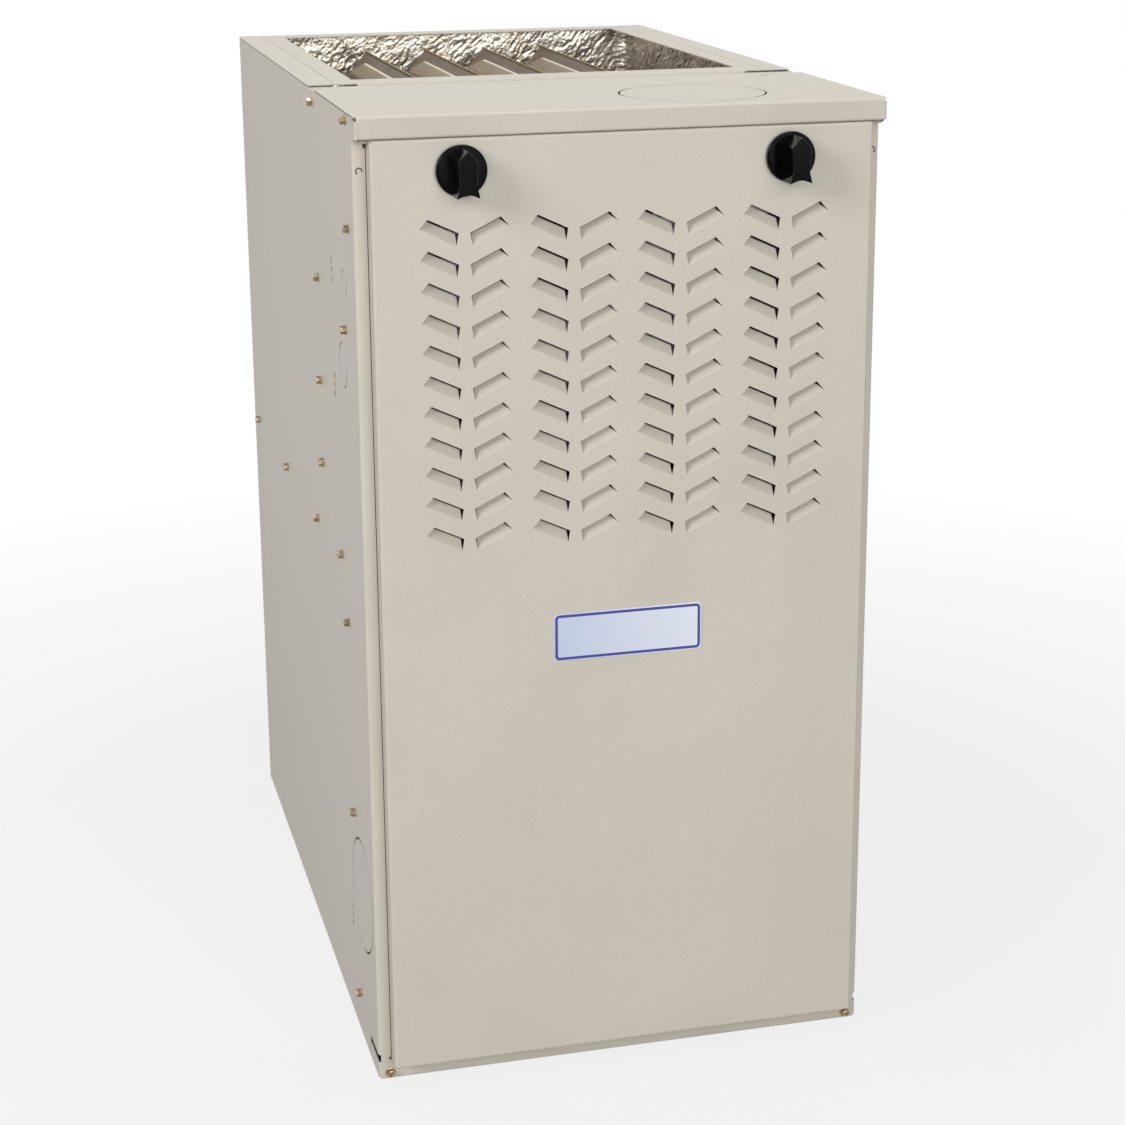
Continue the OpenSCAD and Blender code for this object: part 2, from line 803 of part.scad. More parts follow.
// A clamshell cell: folded passes one above the other under a sloping roof and a top seam,
// hollow, and open to the cell panel's holes in front
module heat_cell(i) color([0.62, 0.57, 0.49]) {
  seam = [[seam_half_w, cell_top_z], [seam_half_w, cell_top_z - seam_h]];
  ridge = [[0.2, cell_top_z - seam_h - 2 * cell_wall]];
  translate([cell_x(i), cell_y + cell_l, 0])
    rotate([90, 0, 0])
      difference() {
        linear_extrude(cell_l)
          polygon(mirrored(concat(seam, cell_pass_outline(0))));
        translate([0, 0, cell_wall])
          linear_extrude(cell_l)
            polygon(mirrored(concat(ridge, cell_pass_outline(cell_wall))));
      }
}

module cell_1() {
  heat_cell(0);
}

module cell_2() {
  if (cell_count > 1)
    heat_cell(1);
}

module cell_3() {
  if (cell_count > 2)
    heat_cell(2);
}

module cell_4() {
  if (cell_count > 3)
    heat_cell(3);
}

// The rear rail that the cells rest on, with its feet on the shelf
module cell_support() color([0.70, 0.70, 0.69]) {
  y0 = cell_y + cell_l - 40;
  x = cell_x(cell_count - 1) + cell_half_w;
  block([-x, y0, cell_bottom_z - support_h], [x, y0 + 20, cell_bottom_z - support_h + 1.5]);
  block([-x, y0, cell_bottom_z - support_h], [x, y0 + 1.5, cell_bottom_z]);
  both_sides()
    block([x - 20, y0, shelf_z], [x, y0 + 1.5, cell_bottom_z - support_h + 1]);
}

module collector_box() color([0.68, 0.68, 0.67]) {
  low_z = inducer_z - collector_half_h;
  high_z = inducer_z + collector_half_h;
  difference() {
    block([-collector_half_w, collector_y, low_z], [collector_half_w, cell_panel_y, high_z]);
    block([-collector_half_w + sheet_t, collector_y + sheet_t, low_z + sheet_t],
          [collector_half_w - sheet_t, cell_panel_y + 1, high_z - sheet_t]);
    bar_y(inducer_x, collector_y - 1, collector_y + 3, inducer_z, inducer_wheel_r - 20);
    bar_y(hose_end_x(), collector_y - 1, collector_y + 3, pressure_switch_z(), hose_r - 1.5);
  }
}

// ---- Inducer and vent ----

// Side view of the inducer's housing: a drum and its outlet, inset from the outer size
module inducer_outline(inset) {
  circle(r = inducer_r - inset);
  translate([0, inducer_r - outlet_h + inset])
    square([elbow_side_x - inducer_x, outlet_h - 2 * inset]);
}

module inducer_housing() color([0.10, 0.10, 0.11]) {
  difference() {
    translate([inducer_x, collector_y, inducer_z])
      rotate([90, 0, 0])
        linear_extrude(inducer_d)
          inducer_outline(0);
    translate([inducer_x, collector_y - 2, inducer_z])
      rotate([90, 0, 0])
        linear_extrude(inducer_d - 4)
          inducer_outline(2);
    bar_y(inducer_x, collector_y - 5, collector_y + 1, inducer_z, inducer_wheel_r - 22);
    bar_y(inducer_x, inducer_y - 1, inducer_y + 5, inducer_z, inducer_shaft_r + 1);
    // The outlet opens into the vent elbow
    block([elbow_side_x - 4, inducer_y + 2, inducer_z + inducer_r - outlet_h + 2],
          [elbow_side_x + 1, collector_y - 2, inducer_z + inducer_r - 2]);
  }
}

module inducer_wheel() color([0.55, 0.55, 0.57]) {
  vane_count = 12;
  back_y = collector_y - 6;
  wheel_d = inducer_d - 16;
  difference() {
    union() {
      bar_y(inducer_x, back_y - wheel_d, back_y - wheel_d + 1.5, inducer_z, inducer_wheel_r);
      bar_y(inducer_x, back_y - wheel_d, back_y - wheel_d + 16, inducer_z, 9);
      for (i = [0:vane_count - 1])
        translate([inducer_x, back_y, inducer_z])
          rotate([0, i * 360 / vane_count, 0])
            translate([22, -wheel_d + 1, -0.75])
              cube([inducer_wheel_r - 24, wheel_d - 1, 1.5]);
    }
    bar_y(inducer_x, back_y - wheel_d - 1, back_y, inducer_z, inducer_shaft_r + 0.02);
  }
}

module inducer_shaft() color([0.60, 0.60, 0.62]) {
  bar_y(inducer_x, inducer_y - 18, inducer_y + 26, inducer_z, inducer_shaft_r);
}

module inducer_motor() color([0.20, 0.20, 0.21]) {
  motor_front_y = inducer_y - 8 - inducer_motor_l;
  difference() {
    union() {
      bar_y(inducer_x, motor_front_y, inducer_y - 8, inducer_z, inducer_motor_r);
      bar_y(inducer_x, motor_front_y - 4, motor_front_y + 1, inducer_z, 14);
      // Three feet that stand on the housing
      for (a = [90, 210, 330])
        bar_y(inducer_x + (inducer_motor_r - 7) * cos(a), inducer_y - 9, inducer_y,
              inducer_z + (inducer_motor_r - 7) * sin(a), 5);
    }
    bar_y(inducer_x, inducer_y - 20, inducer_y, inducer_z, inducer_shaft_r + shaft_clearance);
  }
}

// The box that turns the flue gas up, and the collar that takes the vent pipe
module vent_elbow() color([0.66, 0.66, 0.67]) {
  x0 = flue_x - collar_r;
  x1 = flue_x + collar_r;
  y0 = flue_y - collar_r - 2;
  top_z = inducer_z + inducer_r;
  wall = 1.5;
  difference() {
    union() {
      block([x0, y0, elbow_bottom_z], [x1, inducer_y - 1, elbow_top_z]);
      block([elbow_side_x, inducer_y - 2, elbow_bottom_z], [x1, collector_y, elbow_top_z]);
      block([elbow_side_x, inducer_y, elbow_bottom_z], [x1, collector_y, top_z]);
      bar_z(flue_x, flue_y, elbow_top_z - 1, collar_top_z, collar_r);
    }
    block([x0 + wall, y0 + wall, elbow_bottom_z + wall],
          [x1 - wall, inducer_y - 1 - wall, elbow_top_z - wall]);
    block([elbow_side_x + wall, inducer_y - 6, elbow_bottom_z + wall],
          [x1 - wall, collector_y - wall, elbow_top_z - wall]);
    block([elbow_side_x + wall, inducer_y + wall, elbow_bottom_z + wall],
          [x1 - wall, collector_y - wall, top_z - wall]);
    bar_z(flue_x, flue_y, elbow_top_z - 3, collar_top_z + 1, collar_r - collar_t);
    // Where the inducer's outlet enters
    block([elbow_side_x - 1, inducer_y + 2, top_z - outlet_h + 2],
          [elbow_side_x + 2, collector_y - 2, top_z - 2]);
  }
}

function hose_end_x() = -collector_half_w + 13;
function pressure_switch_x() = hose_end_x() - hose_span;
function pressure_switch_z() = inducer_z + collector_half_h - 14;

module pressure_switch() color([0.12, 0.12, 0.13]) {
  x = pressure_switch_x();
  z = pressure_switch_z();
  bar_y(x, cell_panel_y - 26, cell_panel_y, z, pressure_switch_r);
  bar_y(x, cell_panel_y - 34, cell_panel_y - 25, z, 0.7 * pressure_switch_r);
  bar_y(x, collector_y - 2, cell_panel_y - 33, z, hose_r - 1.5);
  both_sides_of(x)
    block([x + 8, cell_panel_y - 40, z + 11], [x + 14, cell_panel_y - 33, z + 12]);
}

// The shape and its mirror image about the plane at x
module both_sides_of(x) {
  children();
  translate([2 * x, 0, 0])
    mirror([1, 0, 0])
      children();
}

// A bent hose from the switch's nipple round to the collector box
module pressure_hose() color([0.65, 0.20, 0.15]) {
  x0 = pressure_switch_x();
  x1 = hose_end_x();
  z = pressure_switch_z();
  bend_r = hose_span / 2;
  bend_y = collector_y - 14;
  translate([x0 + bend_r, bend_y, z])
    rotate([0, 0, 180])
      rotate_extrude(angle = 180)
        translate([bend_r, 0])
          circle(r = hose_r);
  bar_y(x0, bend_y, collector_y - 2, z, hose_r);
  bar_y(x1, bend_y, collector_y, z, hose_r);
}

module limit_switch() color([0.15, 0.15, 0.16]) {
  x = 165;
  z = shelf_z + 180;
  bar_y(x, cell_panel_y - 3, cell_panel_y, z, 19);
  bar_y(x, cell_panel_y - 15, cell_panel_y, z, 13);
  for (dx = [-5, 5])
    block([x + dx - 2.5, cell_panel_y - 23, z - 0.5], [x + dx + 2.5, cell_panel_y - 14, z + 0.5]);
}

// ---- Burners and gas train ----

module burner_rack() color([0.70, 0.70, 0.69]) {
  low_z = burner_z - rack_below;
  high_z = burner_z + rack_above;
  arm_y = manifold_y - manifold_r - 6;
  difference() {
    union() {
      block([-rack_half_w, rack_y, low_z], [rack_half_w, rack_y + 1.5, high_z]);
      block([-rack_half_w, rack_y, low_z], [rack_half_w, cell_panel_y, low_z + 1.5]);
      both_sides()
        block([rack_half_w - 1.5, arm_y, burner_z - 20], [rack_half_w, cell_panel_y, burner_z + 20]);
    }
    for (i = [0:cell_count - 1])
      bar_y(cell_x(i), rack_y - 1, rack_y + 3, burner_z, burner_r + shaft_clearance);
    bar_x(-rack_half_w - 1, rack_half_w + 1, manifold_y, burner_z, manifold_r + shaft_clearance);
    bar_y(reset_x, rack_y - 1, rack_y + 3, reset_z, reset_r + 1);
  }
}

module burner(i) color([0.66, 0.64, 0.60]) {
  x = cell_x(i);
  end_y = cell_panel_y - 0.2;
  difference() {
    union() {
      bar_y(x, burner_y + 8, end_y - 16, burner_z, burner_r);
      translate([x, burner_y, burner_z])
        rotate([-90, 0, 0])
          cylinder(h = 10, r1 = burner_r + 4, r2 = burner_r);
      translate([x, end_y - 17, burner_z])
        rotate([-90, 0, 0])
          cylinder(h = 8, r1 = burner_r, r2 = burner_r + 5);
      bar_y(x, end_y - 9, end_y, burner_z, burner_r + 5);
    }
    bar_y(x, burner_y - 1, end_y + 1, burner_z, burner_r - 1.5);
  }
}

module burner_1() {
  burner(0);
}

module burner_2() {
  if (cell_count > 1)
    burner(1);
}

module burner_3() {
  if (cell_count > 2)
    burner(2);
}

module burner_4() {
  if (cell_count > 3)
    burner(3);
}

// Where the igniter and the flame sensor stand, on the floor of the burner rack
function probe_x(side) = side * cell_pitch;
function rack_floor_z() = burner_z - rack_below + 1.5;

module igniter() color([0.86, 0.84, 0.78]) {
  x = probe_x(-1);
  z = rack_floor_z();
  block([x - 5, rack_y + 20, z], [x + 5, rack_y + 46, z + 9]);
  bar_y(x, rack_y + 45, cell_panel_y - 4, z + 5, 2);
}

module flame_sensor() color([0.75, 0.73, 0.70]) {
  x = probe_x(1);
  z = rack_floor_z();
  block([x - 4, rack_y + 24, z], [x + 4, rack_y + 30, z + 10]);
  bar_y(x, rack_y + 22, rack_y + 44, z + 6, 3.2);
  bar_y(x, rack_y + 43, cell_panel_y - 4, z + 6, 1.4);
}

module rollout_switch() color([0.14, 0.14, 0.15]) {
  difference() {
    union() {
      bar_y(reset_x, rack_y - 12, rack_y, reset_z, 12);
      block([reset_x - 16, rack_y - 1.2, reset_z - 5], [reset_x + 16, rack_y, reset_z + 5]);
    }
    bar_y(reset_x, rack_y - 13, rack_y - 3, reset_z, reset_r + shaft_clearance);
  }
}

module rollout_reset() color([0.75, 0.10, 0.08]) {
  bar_y(reset_x, rack_y - 18, rack_y - 3 - button_travel - 0.5, reset_z, reset_r);
}

module gas_manifold() color([0.16, 0.16, 0.17]) {
  difference() {
    union() {
      bar_x(-manifold_half_l, manifold_half_l, manifold_y, burner_z, manifold_r);
      bar_x(-manifold_half_l - 7, -manifold_half_l + 3, manifold_y, burner_z, manifold_r + 3.5);
    }
    bar_x(-manifold_half_l + 4, manifold_half_l + 1, manifold_y, burner_z, manifold_r - 2.8);
    for (i = [0:cell_count - 1])
      bar_y(cell_x(i), manifold_y, manifold_y + manifold_r + 1, burner_z, 4);
  }
}

module gas_orifices() color([0.80, 0.65, 0.30]) {
  for (i = [0:cell_count - 1])
    difference() {
      union() {
        bar_y(cell_x(i), manifold_y + manifold_r - 2.5, manifold_y + manifold_r + orifice_l,
              burner_z, 4);
        translate([cell_x(i), manifold_y + manifold_r + 1, burner_z])
          rotate([-90, 0, 0])
            cylinder(h = 6, r = 6, $fn = 6);
      }
      bar_y(cell_x(i), manifold_y, manifold_y + manifold_r + orifice_l + 1, burner_z, 1);
    }
}

module gas_valve() color([0.70, 0.71, 0.72]) {
  lever_z = burner_z + valve_half_h;
  inlet_x = valve_x1 + inlet_boss_l;
  difference() {
    union() {
      block([valve_x0, manifold_y - valve_half_d, burner_z - valve_half_h],
            [valve_x1, manifold_y + valve_half_d, burner_z + valve_half_h]);
      bar_x(valve_x1 - 1, inlet_x, manifold_y, burner_z, gas_inlet_r + 5);
      bar_y(valve_x1 - 0.3 * valve_l, manifold_y - valve_half_d - 10, manifold_y, burner_z + 8, 11);
      block([valve_x0 + 4, manifold_y - valve_half_d - 6, burner_z - 22],
            [valve_x1 - 0.55 * valve_l, manifold_y, burner_z - 8]);
    }
    bar_x(inlet_x - gas_inlet_depth, inlet_x + 1, manifold_y, burner_z, gas_inlet_r);
    bar_z(valve_x0 + valve_l / 2, manifold_y, lever_z - 8, lever_z + 1, 4 + shaft_clearance);
  }
}

// The on-off lever on top of the gas valve, with its pivot pin
module gas_valve_lever() color([0.80, 0.12, 0.10]) {
  x = valve_x0 + valve_l / 2;
  lever_z = burner_z + valve_half_h;
  bar_z(x, manifold_y, lever_z - 7, lever_z + 0.8, 4);
  bar_z(x, manifold_y, lever_z + 0.4, lever_z + 6.4, 11);
  block([x - 3, manifold_y - 21, lever_z + 0.4], [x + 3, manifold_y, lever_z + 9.4]);
}

// ---- Blower ----

module blower_shelf() color([0.72, 0.72, 0.71]) {
  difference() {
    union() {
      block([-inner_x, front_y + 2 * sheet_t, shelf_under_z], [inner_x, inner_rear_y, shelf_z]);
      block([-inner_x, front_y + 2 * sheet_t, shelf_z - 20],
            [inner_x, front_y + 3 * sheet_t, shelf_z]);
    }
    block([-housing_half_w, blower_y - scroll_r_max + 1, shelf_under_z - 1],
          [housing_half_w, blower_y + tongue_y - 1, shelf_z + 1]);
    // Keeps the turned-down edge clear of the screws of the inner panel
    both_sides()
      bar_y(panel_screw_x, front_y, front_y + 5 * sheet_t, panel_screw_z, screw_shank_r + 0.2);
  }
}

function scroll_r(t) = scroll_r_min + (scroll_r_max - scroll_r_min) * t;

// Side view of the blower's scroll and outlet, drawn in from its outer size by inset
module scroll_outline(inset, top) {
  sweep = tongue_angle + 180;
  spiral = [for (i = [0:scroll_steps])
    let (t = i / scroll_steps, a = tongue_angle - sweep * t, r = scroll_r(t) - inset)
      [r * cos(a), r * sin(a)]];
  polygon(concat([[tongue_y - inset, top]], [[tongue_y - inset, scroll_r_min * sin(tongue_angle)]],
                 spiral, [[-scroll_r_max + inset, top]]));
}

// Puts a side view in the blower's place: local X front to back, local Y up, thickness w along X
module along_shaft(x0, w) {
  translate([x0, blower_y, blower_z])
    rotate([90, 0, 90])
      linear_extrude(w)
        children();
}

module blower_housing() color([0.68, 0.68, 0.67]) {
  flange_z = shelf_under_z;
  difference() {
    along_shaft(-housing_half_w, blower_housing_w)
      scroll_outline(0, scroll_top);
    along_shaft(-housing_half_w + sheet_t, blower_housing_w - 2 * sheet_t)
      scroll_outline(sheet_t, scroll_top + 1);
    bar_x(-housing_half_w - 1, housing_half_w + 1, blower_y, blower_z, blower_inlet_r);
  }
  // Side flanges that slide into the shelf's rails
  both_sides()
    block([housing_half_w - sheet_t, blower_y - scroll_r_max, flange_z - sheet_t],
          [housing_half_w + 14, blower_y + tongue_y, flange_z]);
}

module blower_wheel() color([0.60, 0.60, 0.61]) {
  blade_d = 15;
  ring_t = 3;
  difference() {
    union() {
      for (side = [-1, 1])
        difference() {
          bar_x(side * (wheel_half_w - ring_t / 2) - ring_t / 2,
                side * (wheel_half_w - ring_t / 2) + ring_t / 2, blower_y, blower_z, blower_wheel_r);
          bar_x(side * wheel_half_w - ring_t - 1, side * wheel_half_w + ring_t + 1,
                blower_y, blower_z, blower_wheel_r - blade_d);
        }
      bar_x(wheel_plate_x, wheel_plate_x + 1.5, blower_y, blower_z, blower_wheel_r - 2);
      bar_x(wheel_plate_x - 2, wheel_plate_x - 2 + hub_l, blower_y, blower_z, hub_r);
      for (i = [0:blade_count - 1])
        translate([-wheel_half_w + 1, blower_y, blower_z])
          rotate([i * 360 / blade_count, 0, 0])
            translate([0, blower_wheel_r - blade_d / 2 - 1, 0])
              rotate([28, 0, 0])
                translate([0, -blade_d / 2, -0.4])
                  cube([blower_wheel_w - 2, blade_d - 2, 0.8]);
    }
    bar_x(wheel_plate_x - 5, wheel_plate_x + hub_l + 1, blower_y, blower_z, blower_shaft_r + 0.02);
  }
}

module blower_shaft() color([0.62, 0.62, 0.64]) {
  bar_x(motor_x + motor_l - 24, wheel_plate_x + hub_l, blower_y, blower_z, blower_shaft_r);
}

module blower_motor() color([0.13, 0.13, 0.14]) {
  difference() {
    union() {
      bar_x(motor_x, motor_x + motor_l - 4, blower_y, blower_z, motor_r);
      bar_x(motor_x + motor_l - 5, motor_x + motor_l, blower_y, blower_z, motor_r - 12);
    }
    bar_x(motor_x + motor_l - 30, motor_x + motor_l + 1, blower_y, blower_z,
          blower_shaft_r + shaft_clearance);
    // Air space inside
    bar_x(motor_x + 10, motor_x + motor_l - 34, blower_y, blower_z, motor_r - 18);
  }
}

// A band round the motor with three arms to the rim of the housing's inlet
module motor_mount() color([0.55, 0.55, 0.56]) {
  x0 = -housing_half_w - mount_t;
  arm_end = blower_inlet_r + 12;
  difference() {
    union() {
      bar_x(x0, x0 + 28, blower_y, blower_z, motor_r + 2);
      for (a = [90, 210, 330])
        translate([x0, blower_y, blower_z])
          rotate([a, 0, 0])
            block([0, motor_r, -8], [mount_t, arm_end, 8]);
    }
    bar_x(x0 - 1, x0 + 40, blower_y, blower_z, motor_r + 0.02);
  }
}

module capacitor() color([0.72, 0.72, 0.73]) {
  x = housing_half_w + capacitor_r + 1.2;
  z0 = blower_z - 128;
  y = blower_y - blower_inlet_r - capacitor_r + 2;
  bar_z(x, y, z0, z0 + 78, capacitor_r);
  bar_z(x - 7, y, z0 + 77, z0 + 86, 3);
  bar_z(x + 7, y, z0 + 77, z0 + 86, 3);
  // Strap that holds it to the housing's side
  difference() {
    union() {
      bar_z(x, y, z0 + 34, z0 + 46, capacitor_r + 1);
      block([housing_half_w, y - capacitor_r - 5, z0 + 34],
            [housing_half_w + 1, y + capacitor_r + 5, z0 + 46]);
    }
    bar_z(x, y, z0 + 33, z0 + 47, capacitor_r - eps);
  }
}

// ---- Controls ----

module inner_panel() color([0.77, 0.74, 0.68]) {
  difference() {
    block([-inner_x + 6, header_y, panel_bottom_z], [inner_x - 6, header_y + sheet_t, shelf_z - 1]);
    bar_y(sight_x, header_y - 1, header_y + 3, sight_z, sight_r + shaft_clearance);
    both_sides()
      bar_y(panel_screw_x, header_y - 1, header_y + 3, panel_screw_z, screw_shank_r);
  }
}

module inner_panel_screws() color([0.80, 0.70, 0.42]) {
  both_sides()
    translate([panel_screw_x, header_y, panel_screw_z])
      rotate([90, 0, 0])
        hex_screw(sheet_t);
}

module sight_glass() color([0.70, 0.78, 0.80, 0.5]) {
  bar_y(sight_x, header_y - 1.5, header_y, sight_z, sight_r + 3);
  bar_y(sight_x, header_y - eps, header_y + sheet_t, sight_z, sight_r);
}

module control_bracket() color([0.70, 0.70, 0.69]) {
  low_z = shelf_under_z - control_h;
  block([control_x, control_y, low_z], [control_x + control_w, control_y + sheet_t, shelf_under_z]);
  block([control_x, control_y, shelf_under_z - sheet_t],
        [control_x + control_w, control_y + 20, shelf_under_z]);
  block([control_x, control_y - 14, low_z],
        [control_x + control_w, control_y + sheet_t, low_z + sheet_t]);
}

module control_board() color([0.10, 0.38, 0.20]) {
  board_y = control_y - 10;
  z0 = shelf_under_z - 95;
  x0 = control_x + 8;
  w = control_w - 16;
  h = 84;
  block([x0, board_y, z0], [x0 + w, board_y + 1.6, z0 + h]);
  // Standoffs
  for (dx = [5, w - 5], dz = [5, h - 5])
    bar_y(x0 + dx, board_y + 1, control_y, z0 + dz, 3);
  // Relays and terminal strip
  for (i = [0:2])
    block([x0 + 12 + i * 34, board_y - 16, z0 + 48], [x0 + 36 + i * 34, board_y + 1, z0 + 70]);
  block([x0 + 14, board_y - 9, z0 + 12], [x0 + w - 14, board_y + 1, z0 + 22]);
}

module transformer() color([0.25, 0.22, 0.20]) {
  z0 = shelf_under_z - control_h + sheet_t;
  x0 = control_x + 14;
  block([x0, control_y - 42, z0 + 6], [x0 + 58, control_y - 6, z0 + 54]);
  block([x0 + 10, control_y - 50, z0 + 14], [x0 + 48, control_y, z0 + 46]);
}

module junction_box() color([0.66, 0.66, 0.67]) {
  y0 = front_y + junction_from_front;
  difference() {
    block([-inner_x, y0, junction_z], [-inner_x + junction_w, y0 + junction_d, junction_z + junction_h]);
    block([-inner_x - 1, y0 + sheet_t, junction_z + sheet_t],
          [-inner_x + junction_w - sheet_t, y0 + junction_d - sheet_t,
           junction_z + junction_h - sheet_t]);
  }
}

module door_switch() color([0.90, 0.90, 0.88]) {
  difference() {
    union() {
      block([switch_x, switch_y, shelf_z], [switch_x + switch_w, switch_y + switch_d,
                                            shelf_z + switch_h]);
      bar_y(switch_x + switch_w / 2, switch_y - 4, switch_y + 1, shelf_z + switch_h / 2,
            plunger_r + 3);
    }
    bar_y(switch_x + switch_w / 2, switch_y - 5, switch_y + switch_d - 4,
          shelf_z + switch_h / 2, plunger_r + shaft_clearance);
  }
}

module door_switch_plunger() color([0.12, 0.12, 0.12]) {
  bar_y(switch_x + switch_w / 2, door_inner_y + plunger_gap,
        switch_y + switch_d - 4 - button_travel - 0.5, shelf_z + switch_h / 2, plunger_r);
}

casing_wrap();
flue_plate();
cross_rail();
base_strip();
base_panel();
header_rail();
side_screws();
strip_screws();
foil_liner();
outer_door();
nameplate();
knob_left();
knob_right();
knob_left_retainer();
knob_right_retainer();
latch_clips();
cell_panel();
cell_1();
cell_2();
cell_3();
cell_4();
cell_support();
collector_box();
inducer_housing();
inducer_wheel();
inducer_shaft();
inducer_motor();
vent_elbow();
pressure_switch();
pressure_hose();
limit_switch();
burner_rack();
burner_1();
burner_2();
burner_3();
burner_4();
igniter();
flame_sensor();
rollout_switch();
rollout_reset();
gas_manifold();
gas_orifices();
gas_valve();
gas_valve_lever();
blower_shelf();
blower_housing();
blower_wheel();
blower_shaft();
blower_motor();
motor_mount();
capacitor();
inner_panel();
inner_panel_screws();
sight_glass();
control_bracket();
control_board();
transformer();
junction_box();
door_switch();
door_switch_plunger();
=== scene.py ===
# Forced air gas furnace: the finished sheet metal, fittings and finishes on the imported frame.
# Pieces are drawn in millimetres and turned to metres before they are finished.

import json
from math import asin, ceil, cos, pi, radians, sin, sqrt

import bmesh
import bpy
from mathutils import Matrix, Vector, noise
from mathutils.geometry import delaunay_2d_cdt


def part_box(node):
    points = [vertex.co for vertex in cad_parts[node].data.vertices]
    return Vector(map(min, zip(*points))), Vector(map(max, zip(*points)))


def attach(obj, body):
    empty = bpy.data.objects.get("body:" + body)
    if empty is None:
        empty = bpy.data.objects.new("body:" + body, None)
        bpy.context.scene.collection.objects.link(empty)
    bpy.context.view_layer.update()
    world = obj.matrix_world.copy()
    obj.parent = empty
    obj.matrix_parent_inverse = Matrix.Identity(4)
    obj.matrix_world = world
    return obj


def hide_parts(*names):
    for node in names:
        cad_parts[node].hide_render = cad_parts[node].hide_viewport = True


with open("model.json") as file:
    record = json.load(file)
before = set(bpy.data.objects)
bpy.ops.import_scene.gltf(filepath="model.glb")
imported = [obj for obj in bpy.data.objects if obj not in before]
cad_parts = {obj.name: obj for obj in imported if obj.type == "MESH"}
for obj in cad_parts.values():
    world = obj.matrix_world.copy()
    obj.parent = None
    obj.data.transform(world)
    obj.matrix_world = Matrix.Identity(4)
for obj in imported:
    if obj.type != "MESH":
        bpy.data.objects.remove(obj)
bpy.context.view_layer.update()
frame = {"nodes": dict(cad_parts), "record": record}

MM = 0.001
scene = bpy.context.scene


def box_mm(name):
    """Lowest and highest corner of a CAD node, in millimetres."""
    low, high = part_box(name)
    return low / MM, high / MM


# ---- Sizes, from the frame ----

CASING_LOW, CASING_HIGH = box_mm("casing_wrap")
HALF_W = CASING_HIGH.x
FRONT_Y = CASING_LOW.y
REAR_Y = CASING_HIGH.y
TOP_Z = CASING_HIGH.z
DOOR_LOW, DOOR_HIGH = box_mm("outer_door")
DOOR_Y = DOOR_LOW.y
DOOR_X = DOOR_HIGH.x
PLATE_LOW, PLATE_HIGH = box_mm("flue_plate")
PLATE_REAR_Y = PLATE_HIGH.y
LIP_BOTTOM_Z = PLATE_LOW.z
RAIL_REAR_Y = box_mm("cross_rail")[1].y
STRIP_H = box_mm("base_strip")[1].z
LINER_LOW, LINER_HIGH = box_mm("foil_liner")

# ---- Sizes of the folded sheet, the fittings and the cells ----
# Where the part's source has them too they are the same, but for RAIL_DROP, STRIP_GAP,
# KNOCKOUT_CUT and CELL_ROOF_H, which are drawn as the photograph shows them.

SHEET_T = 1.0
BEND_R = 2.2
DOOR_BOTTOM_Z = 17.8
DOOR_BACK_Y = FRONT_Y - 0.4
DUCT_FLANGE_W = 43.5
REAR_FLANGE_W = 31.0
BASE_FLANGE_W = 32.0
FRONT_FLANGE_W = 24.0
FOLD_LINE_IN = 24.0
RAIL_STRIP_D = 33.0
RAIL_DROP = 2.0
STRIP_RETURN_L = 40.0
STRIP_GAP = 7.0
KNOCKOUT_CUT = 1.8
FLUE_X = 80.0
FLUE_FROM_FRONT = 66.0
FLUE_R = 62.0
SIDE_KNOCKOUT_R = 50.8
SIDE_KNOCKOUT_FROM_FRONT = 60.0
SIDE_KNOCKOUT_Z = 149.5
FLANGE_PILOT_R = 2.5
FLANGE_PILOT_CUT = 1.2
FOLD_PILOT_R = 1.2
GAS_ENTRY_R = 16.0
GAS_ENTRY_FROM_FRONT = 88.0
GAS_ENTRY_Z = 502.0

OUTLET_X = HALF_W - DUCT_FLANGE_W
RAIL_FRONT_Y = PLATE_REAR_Y + 0.2
RAIL_STEP_Y = RAIL_FRONT_Y + RAIL_STRIP_D

LOUVRE_COLUMNS = 4
LOUVRE_ROWS = 11
LOUVRE_COLUMN_PITCH = 90.4
LOUVRE_ROW_PITCH = 25.5
LOUVRE_TOP_BELOW = 99.0
LOUVRE_FOLD_L = 34.0
LOUVRE_CUT_L = 28.0
LOUVRE_H = 10.8
LOUVRE_SLOPE = radians(25.5)
LOUVRE_OFFSET = 22.0
LOUVRE_ANGLE = radians(37)
LOUVRE_END_GAP = 1.2

KNOB_X = 137.8
KNOB_Z = TOP_Z - 45.0
KNOB_R = 21.0
KNOB_H = 30.0
KNOB_STEM_R = 7.45

SCREW_HEAD_H = 5.0
LINER_T = 19.0
FOIL_RELIEF = 1.3
CELL_COUNT = 4
CELL_ROOF_H = 28.0


# ---- Node trees ----

def linear(hex_code):
    """An sRGB hex colour as linear red, green, blue and alpha."""
    parts = [int(hex_code[i:i + 2], 16) / 255 for i in (1, 3, 5)]
    return [p / 12.92 if p <= 0.04045 else ((p + 0.055) / 1.055) ** 2.4 for p in parts] + [1.0]


def node(tree, kind, inputs=None, **settings):
    """Adds a node with its settings; an input is a value, an output socket to link from, or a
    node whose first output it is."""
    made = tree.nodes.new(kind)
    for name, value in settings.items():
        setattr(made, name, value)
    for name, value in (inputs or {}).items():
        if isinstance(value, bpy.types.Node):
            value = value.outputs[0]
        if isinstance(value, bpy.types.NodeSocket):
            tree.links.new(value, made.inputs[name])
        else:
            made.inputs[name].default_value = value
    return made


def material(name, surface, *values):
    """A material whose shader is what a surface function gives for these values; the function
    gets the tree and the place on the object."""
    made = bpy.data.materials.new(name)
    made.use_nodes = True
    tree = made.node_tree
    tree.nodes.clear()
    place = node(tree, "ShaderNodeTexCoord").outputs["Object"]
    node(tree, "ShaderNodeOutputMaterial", {"Surface": surface(tree, place, *values)})
    return made


